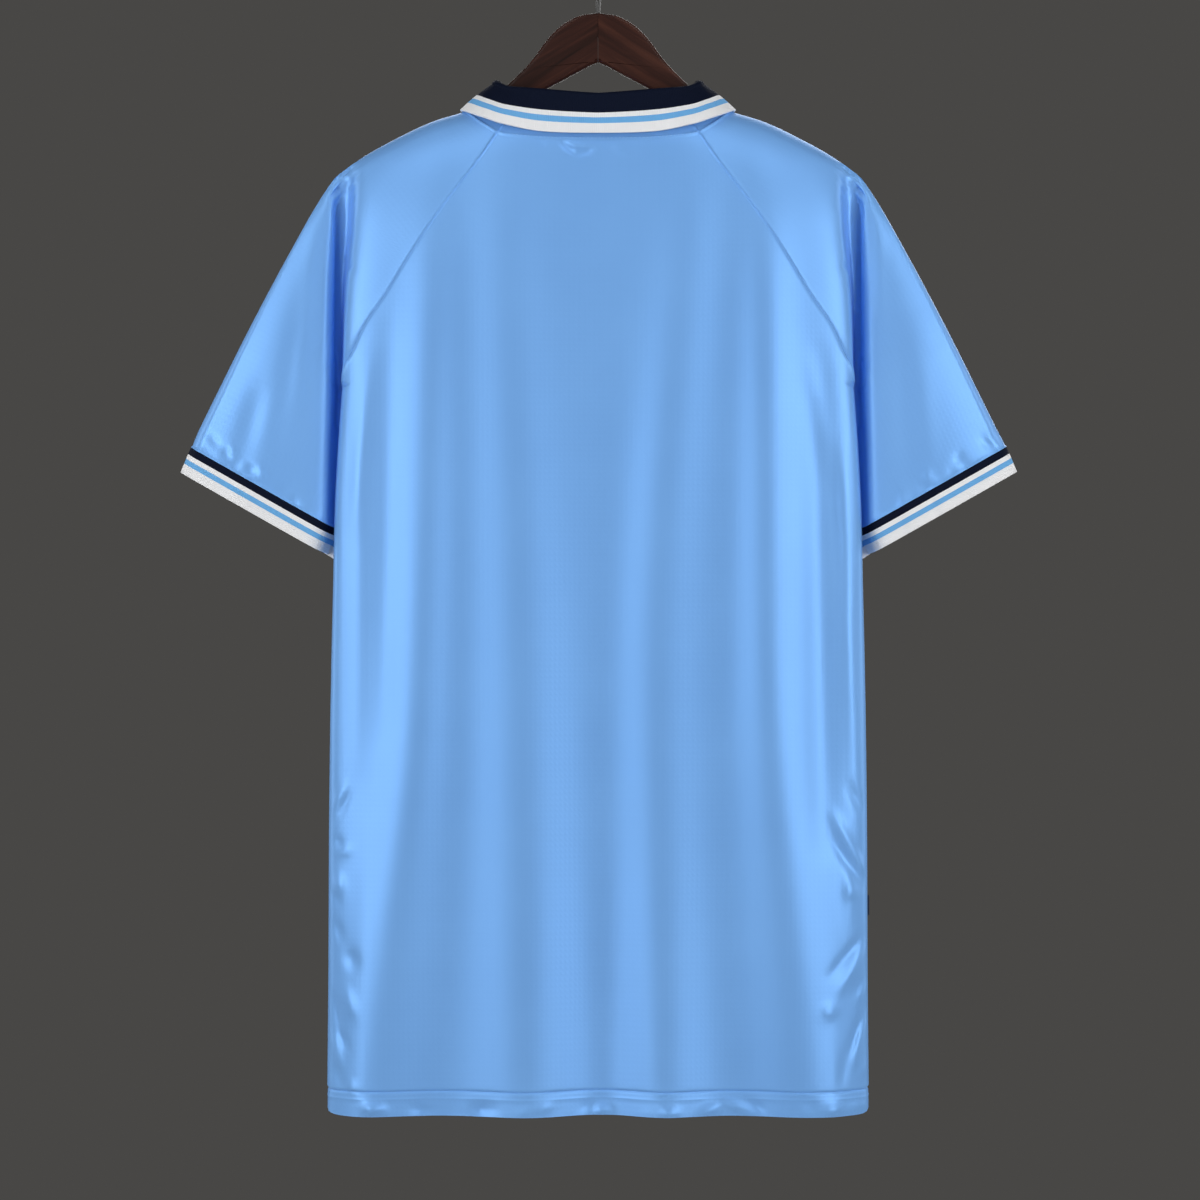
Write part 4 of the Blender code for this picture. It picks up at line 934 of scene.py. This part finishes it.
sleeves = {}
for across, hand in ((-1, "Left"), (1, "Right")):
    sleeves[across] = sleeveGrid(across)
    piece = clothPiece("sleeve" + hand + "Cloth", sleeves[across], garment["clothThick"], cloth,
                       flip=across < 0)
    settle(piece, "jersey_cloth", "sleeve_" + hand.lower())
    ring, shares = cuffGrid(sleeves[across], across)
    piece = clothPiece("cuff" + hand + "Rib", ring, garment["ribThick"], cuffStriped, flip=across < 0,
                       ring=True, ribShares=shares, bevel=0.0004)
    settle(piece, "rib_knit", "cuff_" + hand.lower())
print("sleeves and cuffs made")

rows, shares = collarGrid()
collar = clothPiece("collarRib", rows, garment["ribThick"], collarStriped, ribShares=shares, bevel=0.0004)
settle(collar, "rib_knit", "collar")
print("collar made")

hemRow = int(np.argmin(abs(hemRows() - hemZ - hem["stitchUp"]))) - len(hemRows())
neckRow = int(np.argmin(abs(seamShares * seam["long"] - neckSeam["below"])))
for side, panel, hand in ((-1, "Back", "Left"), (1, "Front", "Right")):
    sew("hemStitches" + panel, panels[side], hemRow, side, stitches["hem"])
    sew("neckStitches" + panel, panels[side], neckRow, side, stitches["neck"])
    sew("neckStitches" + hand, sleeves[side], neckRow, -side, stitches["neck"])
print("sewing made")

tabCut = {"out": 0.002, "thick": 0.001, "tall": 0.0153, "round": 0.0003}    # a folded blank tape


def sideTab():
    low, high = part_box("side_tab")
    mesh = bmesh.new()
    bmesh.ops.create_cube(mesh, size=1.0)
    bmesh.ops.scale(mesh, verts=mesh.verts, vec=(tabCut["out"], tabCut["thick"], tabCut["tall"]))
    bmesh.ops.translate(mesh, verts=mesh.verts, vec=(low + high) / 2)
    bmesh.ops.bevel(mesh, geom=list(mesh.edges), offset=tabCut["round"], segments=3, affect="EDGES",
                    profile=0.5)
    data = fillMesh(bpy.data.meshes.new("sideTabTape"), mesh)
    settle(newPiece("sideTabTape", data, tape), "navy_tape", "side_tab")


sideTab()

hangerCut = {
    "half": 0.0055, "round": 0.0028, "joint": 0.00012, "roundFrom": 60, "sharpFrom": 38,
    "top": [(0, -64.6), (11.5, -66), (24.1, -71.4), (36.7, -82.4), (52, -102.5), (65.5, -116.2),
            (75, -125), (85, -134.5), (93, -140.2), (103.3, -143.4), (124.7, -149.1), (156.1, -163.7),
            (179, -176.6)],
    "end": [(186.2, -182.5), (189.8, -188), (189, -193.5), (185, -196.5)],
    "below": [(165, -191), (103, -160.5), (37.5, -121.6), (6, -104.7), (0, -102.2)],
}
hookCut = {"wire": 0.0036, "inside": 0.02, "deep": 0.019, "neck": 0.006, "start": -52, "turn": 252}


def hangerArm(hand, across):
    topZ, = columns(hangerCut["top"], mm)
    fineX = np.linspace(0, hangerCut["top"][-1][0] * mm, 60)
    lines = [(x, float(topZ(x))) for x in fineX]
    lines += [(x * mm, z * mm) for x, z in hangerCut["end"] + hangerCut["below"]]
    outline = [(across * max(x, hangerCut["joint"]), z, 0) for x, z in lines]
    curve = bpy.data.curves.new("arm", "CURVE")
    curve.dimensions, curve.fill_mode, curve.extrude = "2D", "BOTH", hangerCut["half"]
    polyline(curve, outline).use_cyclic_u = True
    flat = newPiece("arm", curve)
    flat.rotation_euler = (pi / 2, 0, 0)
    bpy.context.view_layer.update()
    data = bpy.data.meshes.new_from_object(flat.evaluated_get(bpy.context.evaluated_depsgraph_get()))
    data.transform(flat.matrix_world)
    bpy.data.objects.remove(flat)
    mesh = bmesh.new()
    mesh.from_mesh(data)
    bmesh.ops.remove_doubles(mesh, verts=mesh.verts, dist=1e-6)
    bmesh.ops.recalc_face_normals(mesh, faces=mesh.faces)
    rounded = [e for e in mesh.edges if e.calc_face_angle() > radians(hangerCut["roundFrom"])
               and abs(e.verts[0].co.y - e.verts[1].co.y) < 1e-4
               and max(abs(v.co.x) for v in e.verts) > 2 * hangerCut["joint"]]
    bmesh.ops.bevel(mesh, geom=rounded, offset=hangerCut["round"], segments=5, affect="EDGES", profile=0.5)
    fillMesh(data, mesh)
    data.set_sharp_from_angle(angle=radians(hangerCut["sharpFrom"]))
    data.materials.clear()
    piece = newPiece("hangerArm" + hand + "Wood", data, stainedWood("wood" + hand, across))
    settle(piece, "hanger_wood", "hanger_arm_" + hand.lower())


def wireHook():
    radius = hookCut["inside"] + hookCut["wire"] / 2
    start, turn = radians(hookCut["start"]), radians(hookCut["turn"])
    bow = [(radius * cos(a), radius * sin(a) - hookCut["inside"])
           for a in np.linspace(start, start + turn, 49)]
    woodTop = hangerCut["top"][0][1] * mm
    neckTop = woodTop + hookCut["neck"]
    bowX, bowZ = bow[0]
    cornerZ = bowZ + bowX / np.tan(start)
    points = [(0.0, woodTop - hookCut["deep"]), (0.0, woodTop), (0.0, neckTop)]
    for t in np.arange(1, 9) / 9:
        points.append((bowX * t**2, neckTop * (1 - t) ** 2 + 2 * cornerZ * t * (1 - t) + bowZ * t**2))
    curve = bpy.data.curves.new("hookWire", "CURVE")
    curve.dimensions, curve.bevel_depth, curve.bevel_resolution = "3D", hookCut["wire"] / 2, 5
    curve.use_fill_caps = True
    polyline(curve, [(x, 0, z) for x, z in points + bow])
    settle(newPiece("hookWire", curve, enamel), "hook_wire", "hanger_hook")


hangerArm("Left", -1)
hangerArm("Right", 1)
wireHook()
print("hanger made")

studio = {
    "floorZ": -1.52, "floorRadius": 2.6, "floorColour": (0.62, 0.61, 0.59),
    "worldColour": (0.065, 0.063, 0.06), "worldStrength": 1.0,
    "distance": 4.0, "frameWide": 0.918, "centreX": 0.0015, "centreZ": -0.5133,
    # name, place of the right one, height that it is turned to, width, height, power
    "pairs": [("strip", (1.25, -0.95, -0.2), -0.42, 0.45, 1.3, 9),
              ("rim", (1.5, 0.5, -0.2), -0.48, 0.4, 1.4, 5),
              ("top", (0.8, -1.05, 1.3), -0.4, 0.7, 0.6, 4.8),
              ("front", (2.3, -3.3, -0.1), -0.6, 1.0, 1.6, 26)],
    "behind": ("softBehind", (0.3, 2.6, 0.6), -0.5, 2.0, 2.0, 40),
}


def studioLamp(name, spot, targetZ, wide, tall, power):
    lamp = bpy.data.lights.new(name, "AREA")
    lamp.shape, lamp.size, lamp.size_y, lamp.energy = "RECTANGLE", wide, tall, power
    item = newPiece(name, lamp)
    item.location = spot
    x, y, z = spot
    item.rotation_euler = (atan2(float(np.hypot(x, y)), z - targetZ), 0, atan2(x, -y))


def makeStudio():
    scene = bpy.context.scene
    bpy.ops.mesh.primitive_circle_add(vertices=96, radius=studio["floorRadius"], fill_type="NGON",
                                      location=(0, 0, studio["floorZ"]))
    floor = bpy.context.object
    floor.name = "studioFloor"
    floorPaint, _, _ = newMaterial("floorPaint", Roughness=0.7, Base_Color=(*studio["floorColour"], 1))
    floor.data.materials.append(floorPaint)
    world = bpy.data.worlds.new("studioWorld")
    world.use_nodes = True
    background = world.node_tree.nodes["Background"]
    background.inputs["Color"].default_value = (*studio["worldColour"], 1)
    background.inputs["Strength"].default_value = studio["worldStrength"]
    scene.world = world
    for name, (x, y, z), *rest in studio["pairs"]:
        studioLamp(name + "Left", (-x, y, z), *rest)
        studioLamp(name + "Right", (x, y, z), *rest)
    studioLamp(*studio["behind"])
    lens = bpy.data.cameras.new("camera")
    lens.sensor_width = 36
    lens.lens = lens.sensor_width * studio["distance"] / studio["frameWide"]
    camera = newPiece("camera", lens)
    camera.location = (studio["centreX"], -studio["distance"], studio["centreZ"])
    camera.rotation_euler = (pi / 2, 0, 0)
    scene.camera = camera
    scene.view_settings.view_transform = "Standard"
    scene.view_settings.look = "None"


makeStudio()
print("studio made")
